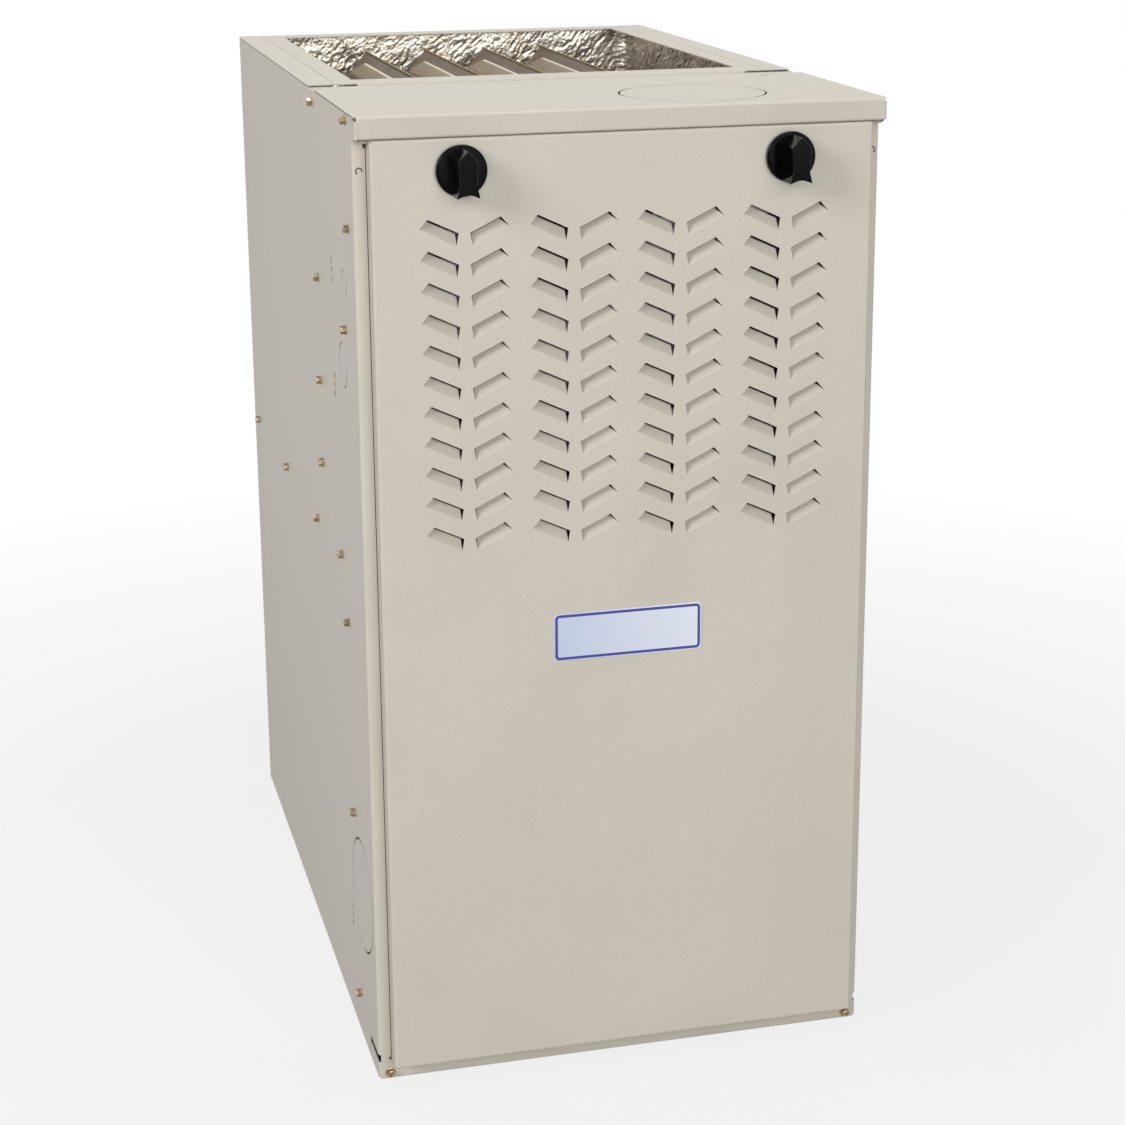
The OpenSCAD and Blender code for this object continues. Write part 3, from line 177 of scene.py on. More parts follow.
def per_mm(size):
    """The texture scale at which one cell of a pattern is size millimetres wide."""
    return 1 / (size * MM)


# Numbers of the Mix node's sockets: its factor, and two inputs and the output for each kind; a
# mixed number is its first output
FACTOR = 0
FLOAT_A, FLOAT_B = 2, 3
VECTOR_A, VECTOR_B, MIXED_VECTOR = 4, 5, 1
COLOUR_A, COLOUR_B, MIXED = 6, 7, 2


# ---- Finishes ----

def baked_enamel(tree, place, light, dark):
    """Sprayed polyester enamel baked on sheet steel: a satin skin whose film varies a little
    over a hand's breadth, with the fine orange peel of a spray gun."""
    film = node(tree, "ShaderNodeTexNoise", {"Vector": place, "Scale": per_mm(120), "Detail": 3.0})
    film_range = node(tree, "ShaderNodeMapRange", {"Value": film, "From Min": 0.3, "From Max": 0.7})
    colour = node(tree, "ShaderNodeMix", {FACTOR: film_range, COLOUR_A: linear(dark),
                                          COLOUR_B: linear(light)}, data_type="RGBA")
    # Pigment speckle, drawn at 1.6 mm because the real grain is too fine to show
    speckle = node(tree, "ShaderNodeTexNoise",
                   {"Vector": place, "Scale": per_mm(1.6), "Detail": 2.0})
    grain = node(tree, "ShaderNodeMapRange", {"Value": speckle, "From Min": 0.25, "From Max": 0.75,
                                              "To Min": 0.975, "To Max": 1.025})
    toned = node(tree, "ShaderNodeMix", {FACTOR: 1.0, COLOUR_A: colour.outputs[MIXED],
                                         COLOUR_B: grain}, data_type="RGBA", blend_type="MULTIPLY")
    sheen = node(tree, "ShaderNodeMapRange",
                 {"Value": film, "From Min": 0.3, "From Max": 0.7, "To Min": 0.44, "To Max": 0.52})
    peel = node(tree, "ShaderNodeTexNoise", {"Vector": place, "Scale": per_mm(2.4), "Detail": 1.0})
    bump = node(tree, "ShaderNodeBump", {"Height": peel, "Strength": 0.25, "Distance": 0.03 * MM})
    return node(tree, "ShaderNodeBsdfPrincipled",
                {"Base Color": toned.outputs[MIXED], "Roughness": sheen, "IOR": 1.5,
                 "Specular IOR Level": 0.25, "Normal": bump})


def spangled_steel(tree, place, light, dark, spangle, roughness):
    """Hot-dipped steel sheet: crystals of the zinc or aluminium coat, each with its own
    brightness and tilt, under a dry film."""
    wobble = node(tree, "ShaderNodeTexNoise", {"Vector": place, "Scale": per_mm(spangle)})
    bent = node(tree, "ShaderNodeMix", {FACTOR: 0.004, VECTOR_A: place,
                                        VECTOR_B: wobble.outputs["Color"]}, data_type="VECTOR")
    crystals = node(tree, "ShaderNodeTexVoronoi",
                    {"Vector": bent.outputs[MIXED_VECTOR], "Scale": per_mm(spangle)})
    shade = node(tree, "ShaderNodeSeparateColor", {"Color": crystals.outputs["Color"]})
    colour = node(tree, "ShaderNodeMix", {FACTOR: shade.outputs["Red"], COLOUR_A: linear(dark),
                                          COLOUR_B: linear(light)}, data_type="RGBA")
    dull = node(tree, "ShaderNodeMapRange",
                {"Value": shade.outputs["Green"], "To Min": roughness - 0.06,
                 "To Max": roughness + 0.08})
    facets = node(tree, "ShaderNodeBump",
                  {"Height": shade.outputs["Blue"], "Strength": 0.12, "Distance": 0.2 * MM})
    return node(tree, "ShaderNodeBsdfPrincipled",
                {"Base Color": colour.outputs[MIXED], "Metallic": 1.0, "Roughness": dull,
                 "Normal": facets})


def drawn_metal(tree, place, light, dark, grain, roughness, stretch=(1, 1, 14)):
    """Bare metal drawn or brushed one way: fine lines across the light, with slight stain."""
    squeezed = node(tree, "ShaderNodeMapping", {"Vector": place, "Scale": stretch})
    lines = node(tree, "ShaderNodeTexNoise",
                 {"Vector": squeezed, "Scale": per_mm(grain * 4), "Detail": 4.0, "Roughness": 0.6})
    stain = node(tree, "ShaderNodeTexNoise", {"Vector": place, "Scale": per_mm(25), "Detail": 3.0})
    blend = node(tree, "ShaderNodeMapRange", {"Value": stain, "From Min": 0.35, "From Max": 0.65})
    colour = node(tree, "ShaderNodeMix", {FACTOR: blend, COLOUR_A: linear(dark),
                                          COLOUR_B: linear(light)}, data_type="RGBA")
    dull = node(tree, "ShaderNodeMapRange",
                {"Value": lines, "To Min": roughness - 0.08, "To Max": roughness + 0.1})
    bump = node(tree, "ShaderNodeBump", {"Height": lines, "Strength": 0.2, "Distance": 0.02 * MM})
    return node(tree, "ShaderNodeBsdfPrincipled",
                {"Base Color": colour.outputs[MIXED], "Metallic": 1.0, "Roughness": dull,
                 "Normal": bump})


def moulded_plastic(tree, place, light, dark, roughness, texture, coat=0.0, face_on=1.0):
    """Moulded plastic or thick stove enamel: one deep colour whose sheen is broken by the
    texture of the mould and by handling. face_on scales what it mirrors where it is seen square."""
    handling = node(tree, "ShaderNodeTexNoise",
                    {"Vector": place, "Scale": per_mm(14), "Detail": 4.0})
    colour = node(tree, "ShaderNodeMix", {FACTOR: handling, COLOUR_A: linear(dark),
                                          COLOUR_B: linear(light)}, data_type="RGBA")
    dull = node(tree, "ShaderNodeMapRange", {"Value": handling, "From Min": 0.3, "From Max": 0.7,
                                             "To Min": roughness, "To Max": roughness + 0.08})
    grit = node(tree, "ShaderNodeTexNoise",
                {"Vector": place, "Scale": per_mm(texture), "Detail": 2.0})
    bump = node(tree, "ShaderNodeBump", {"Height": grit, "Strength": 0.15, "Distance": 0.05 * MM})
    return node(tree, "ShaderNodeBsdfPrincipled",
                {"Base Color": colour.outputs[MIXED], "Roughness": dull, "IOR": 1.5,
                 "Specular Tint": (face_on, face_on, face_on, 1), "Coat Weight": coat,
                 "Coat Roughness": 0.06, "Normal": bump})


def yellow_zinc(tree, place):
    """Zinc plate passivated yellow, aged to a greyed straw with drifts of green and rose, and as
    bright as the steel below it."""
    drift = node(tree, "ShaderNodeTexNoise", {"Vector": place, "Scale": per_mm(4), "Detail": 2.0})
    tints = node(tree, "ShaderNodeValToRGB", {"Fac": drift})
    ramp = tints.color_ramp.elements
    ramp[0].position, ramp[0].color = 0.32, linear("#7b7962")
    ramp[1].position, ramp[1].color = 0.70, linear("#8b7264")
    middle = ramp.new(0.5)
    middle.color = linear("#a8997a")
    scratch = node(tree, "ShaderNodeTexNoise",
                   {"Vector": place, "Scale": per_mm(0.8), "Detail": 3.0})
    dull = node(tree, "ShaderNodeMapRange", {"Value": scratch, "To Min": 0.18, "To Max": 0.36})
    bump = node(tree, "ShaderNodeBump", {"Height": scratch, "Strength": 0.2, "Distance": 0.05 * MM})
    return node(tree, "ShaderNodeBsdfPrincipled",
                {"Base Color": tints.outputs["Color"], "Metallic": 1.0, "Roughness": dull,
                 "Normal": bump})


def crinkled_foil(tree, place):
    """Aluminium foil on a glass-fibre blanket: bright, with small creases on top of the folds
    that the mesh has."""
    creases = node(tree, "ShaderNodeTexVoronoi", {"Vector": place, "Scale": per_mm(3.5)},
                   feature="DISTANCE_TO_EDGE")
    soft = node(tree, "ShaderNodeTexNoise", {"Vector": place, "Scale": per_mm(2.2), "Detail": 3.0})
    height = node(tree, "ShaderNodeMix", {FACTOR: 0.4, FLOAT_A: creases.outputs["Distance"],
                                          FLOAT_B: soft}, data_type="FLOAT")
    bump = node(tree, "ShaderNodeBump", {"Height": height, "Strength": 0.8, "Distance": 0.6 * MM})
    tarnish = node(tree, "ShaderNodeTexNoise",
                   {"Vector": place, "Scale": per_mm(30), "Detail": 4.0})
    colour = node(tree, "ShaderNodeMix", {FACTOR: tarnish, COLOUR_A: linear("#a39581"),
                                          COLOUR_B: linear("#dbd7cf")}, data_type="RGBA")
    dull = node(tree, "ShaderNodeMapRange", {"Value": soft, "To Min": 0.22, "To Max": 0.42})
    return node(tree, "ShaderNodeBsdfPrincipled",
                {"Base Color": colour.outputs[MIXED], "Metallic": 0.9, "Roughness": dull,
                 "Normal": bump})


def heat_tinted_steel(tree, place):
    """Aluminised steel of the heat-exchanger cells: satin silver turned straw along the seams, with
    the streaks of the press. The slope below the seam is dark brown, partly heat tint and partly
    painted dark reflection and shade; the pressing is lighter, with a painted highlight along its
    rim."""
    streaks = node(tree, "ShaderNodeMapping", {"Vector": place, "Scale": (1, 0.12, 1)})
    rolled = node(tree, "ShaderNodeTexNoise",
                  {"Vector": streaks, "Scale": per_mm(6), "Detail": 4.0})
    drift = node(tree, "ShaderNodeTexNoise", {"Vector": place, "Scale": per_mm(45), "Detail": 3.0})
    worked = node(tree, "ShaderNodeAttribute", attribute_name="seam")
    # Partly heat tint, partly painted reflection and shade: the unpressed slope gets a darker brown
    # and the pressing a lighter tone
    slope_tint_and_dark_reflection = node(tree, "ShaderNodeMix", {FACTOR: drift, COLOUR_A: linear("#4c3f2f"),
                                         COLOUR_B: linear("#665641")}, data_type="RGBA")
    bright = node(tree, "ShaderNodeMix", {FACTOR: drift, COLOUR_A: linear("#7b6d57"),
                                          COLOUR_B: linear("#95876f")}, data_type="RGBA")
    raised = node(tree, "ShaderNodeAttribute", attribute_name="pressed")
    tint = node(tree, "ShaderNodeMix",
                {FACTOR: raised.outputs["Fac"], COLOUR_A: slope_tint_and_dark_reflection.outputs[MIXED],
                 COLOUR_B: bright.outputs[MIXED]}, data_type="RGBA")
    # Painted highlight: the rim of the pressing is mixed towards a pale cream
    rim = node(tree, "ShaderNodeMath", {0: raised.outputs["Fac"], 1: 0.55, 2: 0.38},
               operation="COMPARE")
    painted_rim_highlight = node(tree, "ShaderNodeMath", {0: rim, 1: 0.75}, operation="MULTIPLY")
    # The tint with the painted highlight on the pressing's rim
    drawn = node(tree, "ShaderNodeMix", {FACTOR: painted_rim_highlight, COLOUR_A: tint.outputs[MIXED],
                                         COLOUR_B: linear("#e9dfca")}, data_type="RGBA")
    colour = node(tree, "ShaderNodeMix",
                  {FACTOR: worked.outputs["Fac"], COLOUR_A: drawn.outputs[MIXED],
                   COLOUR_B: linear("#857638")}, data_type="RGBA")
    dull = node(tree, "ShaderNodeMapRange", {"Value": rolled, "To Min": 0.38, "To Max": 0.56})
    bump = node(tree, "ShaderNodeBump", {"Height": rolled, "Strength": 0.25, "Distance": 0.1 * MM})
    return node(tree, "ShaderNodeBsdfPrincipled",
                {"Base Color": colour.outputs[MIXED], "Metallic": 0.6, "Roughness": dull,
                 "Normal": bump})


def clear_glass(tree, place):
    """Clear pressed glass of the sight window: sharp reflections and a faint green body."""
    flow = node(tree, "ShaderNodeTexNoise", {"Vector": place, "Scale": per_mm(9)})
    bump = node(tree, "ShaderNodeBump", {"Height": flow, "Strength": 0.1, "Distance": 0.1 * MM})
    colour = node(tree, "ShaderNodeMix", {FACTOR: flow, COLOUR_A: linear("#e2efe9"),
                                          COLOUR_B: linear("#f4faf7")}, data_type="RGBA")
    return node(tree, "ShaderNodeBsdfPrincipled",
                {"Base Color": colour.outputs[MIXED], "Roughness": 0.03, "IOR": 1.52,
                 "Transmission Weight": 1.0, "Normal": bump})


def printed_plate(tree, place):
    """Brushed aluminium plate, clear-lacquered, with a thin blue border printed inside its edge:
    the brush lines run along it and the tone drifts from silver to blue."""
    low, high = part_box("nameplate")
    middle = (low + high) / 2
    centred = node(tree, "ShaderNodeMapping", {"Vector": place, "Location": -middle})
    # Distance from a rounded rectangle, which the printed line follows
    line_in, line_w, corner = 2.2 * MM, 2.4 * MM, 2.6 * MM
    half_x, half_z = (high.x - low.x) / 2, (high.z - low.z) / 2
    half = Vector((half_x - line_in - corner, 1.0, half_z - line_in - corner))
    size = node(tree, "ShaderNodeVectorMath", {0: centred}, operation="ABSOLUTE")
    past = node(tree, "ShaderNodeVectorMath", {0: size, 1: half}, operation="SUBTRACT")
    outside = node(tree, "ShaderNodeVectorMath", {0: past, 1: (0, 0, 0)}, operation="MAXIMUM")
    reach = node(tree, "ShaderNodeVectorMath", {0: outside}, operation="LENGTH")
    sides = node(tree, "ShaderNodeSeparateXYZ", {0: past})
    deepest = node(tree, "ShaderNodeMath", {0: sides.outputs["X"], 1: sides.outputs["Z"]},
                   operation="MAXIMUM")
    inside = node(tree, "ShaderNodeMath", {0: deepest, 1: 0.0}, operation="MINIMUM")
    signed = node(tree, "ShaderNodeMath", {0: reach.outputs["Value"], 1: inside})
    printed = node(tree, "ShaderNodeMath", {0: signed, 1: corner, 2: line_w / 2},
                   operation="COMPARE")
    brushed = node(tree, "ShaderNodeMapping", {"Vector": place, "Scale": (0.05, 1, 1)})
    lines = node(tree, "ShaderNodeTexNoise",
                 {"Vector": brushed, "Scale": per_mm(0.9), "Detail": 4.0})
    across = node(tree, "ShaderNodeSeparateXYZ", {0: centred})
    drift = node(tree, "ShaderNodeMapRange",
                 {"Value": across.outputs["X"], "From Min": low.x, "From Max": high.x})
    silver = node(tree, "ShaderNodeMix", {FACTOR: drift, COLOUR_A: linear("#b3bcd2"),
                                          COLOUR_B: linear("#cfd4df")}, data_type="RGBA")
    colour = node(tree, "ShaderNodeMix", {FACTOR: printed, COLOUR_A: silver.outputs[MIXED],
                                          COLOUR_B: linear("#2c338c")}, data_type="RGBA")
    bare = node(tree, "ShaderNodeMath", {0: 1.0, 1: printed}, operation="SUBTRACT")
    metal = node(tree, "ShaderNodeMath", {0: bare, 1: 0.35}, operation="MULTIPLY")
    dull = node(tree, "ShaderNodeMapRange", {"Value": lines, "To Min": 0.30, "To Max": 0.50})
    bump = node(tree, "ShaderNodeBump", {"Height": lines, "Strength": 0.12, "Distance": 0.02 * MM})
    return node(tree, "ShaderNodeBsdfPrincipled",
                {"Base Color": colour.outputs[MIXED], "Metallic": metal, "Roughness": dull,
                 "Coat Weight": 0.3, "Coat Roughness": 0.1, "Normal": bump})


# By material slot: the material's name, its surface and the values for it
FINISHES = {slot: material(*recipe) for slot, recipe in {
    "cabinet_paint": ("baked_enamel_on_steel", baked_enamel, "#cac4b8", "#c5bfb3"),
    "galvanised": ("hot_dip_galvanised_sheet", spangled_steel, "#c4c7c8", "#9fa3a6", 9, 0.42),
    "cell_steel": ("aluminised_steel_heat_tinted", heat_tinted_steel),
    "screw_zinc": ("yellow_zinc", yellow_zinc),
    "bright_steel": ("drawn_bright_steel", drawn_metal, "#c3c5c8", "#a9abad", 0.3, 0.28),
    "foil_blanket": ("aluminium_foil_on_blanket", crinkled_foil),
    "knob_plastic": ("moulded_phenolic_black", moulded_plastic, "#060606", "#030303", 0.1, 0.5,
                     0.0, 0.09),
    "black_plastic": ("moulded_nylon_black", moulded_plastic, "#1b1b1c", "#121213", 0.45, 0.6),
    "motor_paint": ("stove_enamel_black", moulded_plastic, "#1d1d1f", "#131314", 0.34, 1.2),
    "plate_metal": ("brushed_aluminium_printed", printed_plate),
    "cast_metal": ("sand_cast_aluminium", drawn_metal, "#bcbfc2", "#9a9da0", 0.5, 0.46,
                   (1, 1, 1)),
    "pipe_paint": ("lacquered_black_pipe", moulded_plastic, "#2a2a2b", "#1c1c1d", 0.4, 1.6),
    "brass": ("turned_brass", drawn_metal, "#d8b769", "#b8924a", 0.3, 0.25, (1, 14, 1)),
    "board_green": ("solder_masked_board", moulded_plastic, "#1c6a3c", "#145030", 0.3, 0.8, 0.3),
    "core_steel": ("varnished_core_steel", spangled_steel, "#55493f", "#3a322b", 3, 0.5),
    "hose_red": ("silicone_rubber_red", moulded_plastic, "#9c3326", "#84281d", 0.55, 0.9),
    "control_red": ("moulded_red_nylon", moulded_plastic, "#c0241c", "#a51a14", 0.35, 0.6),
    "switch_white": ("moulded_white_nylon", moulded_plastic, "#e4e2db", "#d6d3ca", 0.4, 0.7),
    "igniter_ceramic": ("fired_steatite", moulded_plastic, "#ddd8cb", "#c8c1b1", 0.6, 0.9),
    "sight_glass": ("pressed_glass", clear_glass),
}.items()}

SLOT_OF = {row["node"]: row["material_slot"] for row in frame["record"]["subparts"]}
for cad_name, cad_object in frame["nodes"].items():
    cad_object.data.materials.clear()
    cad_object.data.materials.append(FINISHES[SLOT_OF[cad_name]])


# ---- From drawn meshes to finished pieces ----

BODY_OF = {cad: body for body, cads in frame["record"]["behaviour"]["bodies"].items()
           for cad in cads}
MERGE_MM = 0.002


def in_metres(bm, name, merge=True):
    """The drawing as a mesh in metres."""
    if merge:
        bmesh.ops.remove_doubles(bm, verts=bm.verts, dist=MERGE_MM)
    bmesh.ops.scale(bm, vec=(MM, MM, MM), verts=bm.verts)
    mesh = bpy.data.meshes.new(name)
    bm.to_mesh(mesh)
    bm.free()
    return mesh


def in_scene(name, data):
    """A mesh, lamp or camera as an object in the scene."""
    made = bpy.data.objects.new(name, data)
    scene.collection.objects.link(made)
    return made


def plain(holder):
    """The mesh that an object's modifiers make of it; the object goes."""
    ready = holder.evaluated_get(bpy.context.evaluated_depsgraph_get())
    result = bpy.data.meshes.new_from_object(ready)
    bpy.data.objects.remove(holder)
    return result


def walled(mesh, thickness=SHEET_T):
    """A sheet that was drawn as its outer skin, with its wall inwards."""
    holder = in_scene(mesh.name + "_blank", mesh)
    wall = holder.modifiers.new("wall", "SOLIDIFY")
    wall.thickness = thickness * MM
    wall.offset = -1
    wall.use_even_offset = True
    return plain(holder)


def coated(name, mesh, material, angle=35):
    """The mesh as an object in one material, smooth where faces meet at less than angle degrees
    and with a hard edge between the others."""
    mesh.shade_smooth()
    mesh.set_sharp_from_angle(angle=radians(angle))
    mesh.materials.clear()
    mesh.materials.append(material)
    return in_scene(name, mesh)


def finished(name, mesh, replaced, angle=35):
    """The mesh as a piece: it stands for CAD nodes, rides on their body and takes their finish."""
    slot = SLOT_OF[replaced[0]]
    made = coated(name, mesh, FINISHES[slot], angle)
    weighting = made.modifiers.new("face_weighted_normals", "WEIGHTED_NORMAL")
    weighting.keep_sharp = True
    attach(made, BODY_OF[replaced[0]])
    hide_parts(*replaced)


def sheet_piece(name, bm, inside, replaced):
    """Folded sheet drawn as its outer skin: faces are turned away from a point inside it, and the
    wall goes inwards."""
    bmesh.ops.remove_doubles(bm, verts=bm.verts, dist=MERGE_MM)
    turn_outward(bm, inside)
    finished(name, walled(in_metres(bm, name)), (replaced,))


def turn_outward(bm, inside):
    """Turns each face away from a point."""
    bm.normal_update()
    for face in bm.faces:
        if (face.calc_center_median() - Vector(inside)).dot(face.normal) < 0:
            face.normal_flip()


# ---- Drawing folded sheet ----

BEND_STEPS = 6


def arc(centre, radius, start, end, steps):
    """Points on an arc in a plane, from one angle to another, in degrees."""
    return [(centre[0] + radius * cos(radians(start + (end - start) * i / steps)),
             centre[1] + radius * sin(radians(start + (end - start) * i / steps)))
            for i in range(steps + 1)]


def bend(centre, start, end):
    """Points round a fold of the sheet."""
    return arc(centre, BEND_R, start, end, BEND_STEPS)


def along_x(u, v, w):
    """Puts a profile of (y, z) points along X."""
    return (w, u, v)


def up_side(side):
    """What puts a profile of (x, y) points up Z, on the left or the right."""
    return lambda u, v, w: (side * u, v, w)


def along_side(side):
    """What puts a profile of (x, z) points along Y, on the left or the right."""
    return lambda u, v, w: (side * u, w, v)


def within(point, ring):
    """Whether a point lies in a closed outline."""
    x, y = point
    hit = False
    for (x0, y0), (x1, y1) in zip(ring, ring[1:] + ring[:1]):
        if (y0 > y) != (y1 > y) and x < x0 + (y - y0) * (x1 - x0) / (y1 - y0):
            hit = not hit
    return hit


def flat(bm, place, outline, holes=()):
    """A flat stretch of sheet with holes; place puts (u, v) in space."""
    rings = [list(outline), *[list(hole) for hole in holes]]
    points, fences = [], []
    for ring in rings:
        first, count = len(points), len(ring)
        points += [Vector(p) for p in ring]
        fences += [(first + i, first + (i + 1) % count) for i in range(count)]
    made, _, faces, *_ = delaunay_2d_cdt(points, fences, [], 1, 1e-4)
    spans = []
    for ring in rings[1:]:
        us, vs = zip(*ring)
        spans.append((min(us), max(us), min(vs), max(vs), ring))
    verts = [bm.verts.new(place(p.x, p.y)) for p in made]
    for face in faces:
        middle = sum((made[i] for i in face), Vector((0, 0))) / len(face)
        pierced = any(u0 < middle.x < u1 and v0 < middle.y < v1 and within(middle, r)
                      for u0, u1, v0, v1, r in spans)
        if not pierced:
            bm.faces.new([verts[i] for i in face])


def swept(bm, place, profile, start, end):
    """A folded stretch of sheet: a profile of (u, v) points, drawn along w; place puts (u, v, w) in
    space."""
    rows = [[bm.verts.new(place(u, v, w)) for u, v in profile] for w in (start, end)]
    for i in range(len(profile) - 1):
        bm.faces.new((rows[0][i], rows[0][i + 1], rows[1][i + 1], rows[1][i]))


def arc_cut(centre, radius, start, end, width=KNOCKOUT_CUT, step=5):
    """Outline of a narrow cut along an arc, with a point every few degrees."""
    steps = max(4, ceil(abs(end - start) / step))
    outer = arc(centre, radius + width / 2, start, end, steps)
    return outer + arc(centre, radius - width / 2, end, start, steps)


def knockout(centre, radius, tabs, tab_w, first):
    """The cuts round a knock-out, broken by tabs of which the first is at an angle in degrees."""
    tab = 2 * asin(tab_w / 2 / radius) * 180 / pi
    pitch = 360 / tabs
    return [arc_cut(centre, radius, first + i * pitch + tab / 2, first + (i + 1) * pitch - tab / 2)
            for i in range(tabs)]


def oblong(u, v, width, height):
    """Outline of a narrow slot round its middle."""
    return [(u - width / 2, v - height / 2), (u + width / 2, v - height / 2),
            (u + width / 2, v + height / 2), (u - width / 2, v + height / 2)]


def fold_slots(start, end, line):
    """Slots that mark a fold line, as (along, across) outlines."""
    pitch, length, width = 16, 11, 0.8
    count = int((end - start) // pitch)
    spare = (end - start - count * pitch + pitch - length) / 2
    return [oblong(start + spare + i * pitch + length / 2, line, length, width)
            for i in range(count)]


# ---- Cabinet ----

# Knock-outs in both side walls: distance from the front, height, radius, number and width of the
# tabs that hold them, and the first tab's angle
SIDE_KNOCKOUTS = (
    (SIDE_KNOCKOUT_FROM_FRONT, SIDE_KNOCKOUT_Z, SIDE_KNOCKOUT_R, 3, 5, 35),
    (55, TOP_Z - 144, 11, 2, 14, 100),
    (75, TOP_Z - 218, 19, 2, 14, 100),
)
# Short slots in both side walls, three above each other: distance from the front and height of
# the lowest
SIDE_SLOTS = ((122, TOP_Z - 153), (124, TOP_Z - 254), (118, 97))
SIDE_SLOT_PITCH, SIDE_SLOT_W, SIDE_SLOT_H = 8, 6, 5.4

# Raised tabs at the flue plate's rear edge. Their section goes inwards from the edge: how far in,
# and how high above the plate.
TAB_X, TAB_R, TAB_STEPS = 177, 13.9, 24
TAB_SECTION = ((0, 0), (0.5, -0.7), (1.2, -0.8), (1.8, 0.1), (2.6, 0.5), (4.5, 0.6), (TAB_R, 0.6))


def side_wall_cuts():
    """The knock-outs and short slots of a side wall."""
    cuts = []
    for from_front, z, radius, tabs, tab_w, first in SIDE_KNOCKOUTS:
        cuts += knockout((FRONT_Y + from_front, z), radius, tabs, tab_w, first)
    for from_front, z in SIDE_SLOTS:
        cuts += [oblong(FRONT_Y + from_front, z + SIDE_SLOT_PITCH * k, SIDE_SLOT_W, SIDE_SLOT_H)
                 for k in range(3)]
    return cuts


def door_edge_slot():
    """Outline of the slot in a front flange beside the door's edge, wider at both ends."""
    low_z, high_z = DOOR_BOTTOM_Z + 1, LIP_BOTTOM_Z - 0.8
    near, far = DOOR_X - 0.4, DOOR_X + 0.6
    wide, low_wide_z, high_wide_z = far + 1.8, low_z + 2.5, high_z - 7.5
    return [(near, low_z), (wide, low_z), (wide, low_wide_z), (far, low_wide_z),
            (far, high_wide_z), (wide, high_wide_z), (wide, high_z), (near, high_z)]


def casing():
    """The wrap: two side walls and a back in one sheet, with flanges turned in at the front, the
    base and the supply outlet."""
    bm = bmesh.new()
    r = BEND_R
    outlet_rear_y = REAR_Y - REAR_FLANGE_W
    top_r, top_joint = 1.0, 0.9
    wall_top = TOP_Z - SHEET_T - top_joint
    notch_y, notch_z = FRONT_Y + STRIP_RETURN_L + 2, STRIP_H + STRIP_GAP
    wall = [(FRONT_Y + r, notch_z), (notch_y, notch_z), (notch_y, r), (REAR_Y - r, r),
            (REAR_Y - r, wall_top), (FRONT_Y + r, wall_top)]
    gas_entry = arc((FRONT_Y + GAS_ENTRY_FROM_FRONT, GAS_ENTRY_Z), GAS_ENTRY_R, 0, 350, 35)
    flange_x, flange_low_z = HALF_W - FRONT_FLANGE_W, STRIP_H + 0.2
    front_flange = [(flange_x, flange_low_z), (HALF_W - r, flange_low_z), (HALF_W - r, notch_z),
                    (HALF_W - r, wall_top), (flange_x, wall_top)]
    pilot = arc_cut(((DOOR_X + HALF_W) / 2, KNOB_Z), FLANGE_PILOT_R, -60, 190, FLANGE_PILOT_CUT,
                    12.5)
    top_cuts = [[(u, v) for v, u in ring]
                for ring in fold_slots(RAIL_STEP_Y + 10, outlet_rear_y, HALF_W - FOLD_LINE_IN)]
    top_cuts.append(arc((HALF_W - 0.6 * FOLD_LINE_IN, RAIL_STEP_Y + 17), FOLD_PILOT_R, 0, 330, 11))
    for side in (-1, 1):
        flat(bm, lambda u, v: (side * HALF_W, u, v), wall,
             side_wall_cuts() + ([gas_entry] if side > 0 else []))
        flat(bm, lambda u, v: (side * u, FRONT_Y, v), front_flange, [pilot, door_edge_slot()])
        swept(bm, up_side(side), bend((HALF_W - r, FRONT_Y + r), 270, 360), notch_z, wall_top)
        swept(bm, up_side(side), bend((HALF_W - r, REAR_Y - r), 0, 90), r, TOP_Z - r)
        swept(bm, along_side(side), arc((HALF_W - top_r, TOP_Z - top_r), top_r, 0, 90, BEND_STEPS),
              RAIL_STEP_Y, REAR_Y - r)
        swept(bm, along_side(side), bend((HALF_W - r, r), 360, 270) + [(HALF_W - BASE_FLANGE_W, 0)],
              notch_y, REAR_Y - r)
        # The mitre to the rear flange stands open, more on the right
        gap = 1.8 if side > 0 else 0.4
        flat(bm, lambda u, v: (side * u, v, TOP_Z),
             [(OUTLET_X, RAIL_STEP_Y), (HALF_W - top_r, RAIL_STEP_Y),
              (HALF_W - top_r, REAR_Y - r - gap), (OUTLET_X, outlet_rear_y - gap)], top_cuts)
    flat(bm, lambda u, v: (u, REAR_Y, v),
         [(-HALF_W + r, r), (HALF_W - r, r), (HALF_W - r, TOP_Z - r), (-HALF_W + r, TOP_Z - r)])
    for profile in (bend((REAR_Y - r, TOP_Z - r), 0, 90),
                    bend((REAR_Y - r, r), 360, 270) + [(REAR_Y - BASE_FLANGE_W, 0)]):
        swept(bm, along_x, profile, -HALF_W + r, HALF_W - r)
    flat(bm, lambda u, v: (u, v, TOP_Z),
         [(-OUTLET_X, outlet_rear_y), (OUTLET_X, outlet_rear_y), (HALF_W - r, REAR_Y - r),
          (-HALF_W + r, REAR_Y - r)], fold_slots(-OUTLET_X, OUTLET_X, REAR_Y - FOLD_LINE_IN))
    sheet_piece("casing_sheet", bm, (0, 0, TOP_Z / 2), "casing_wrap")


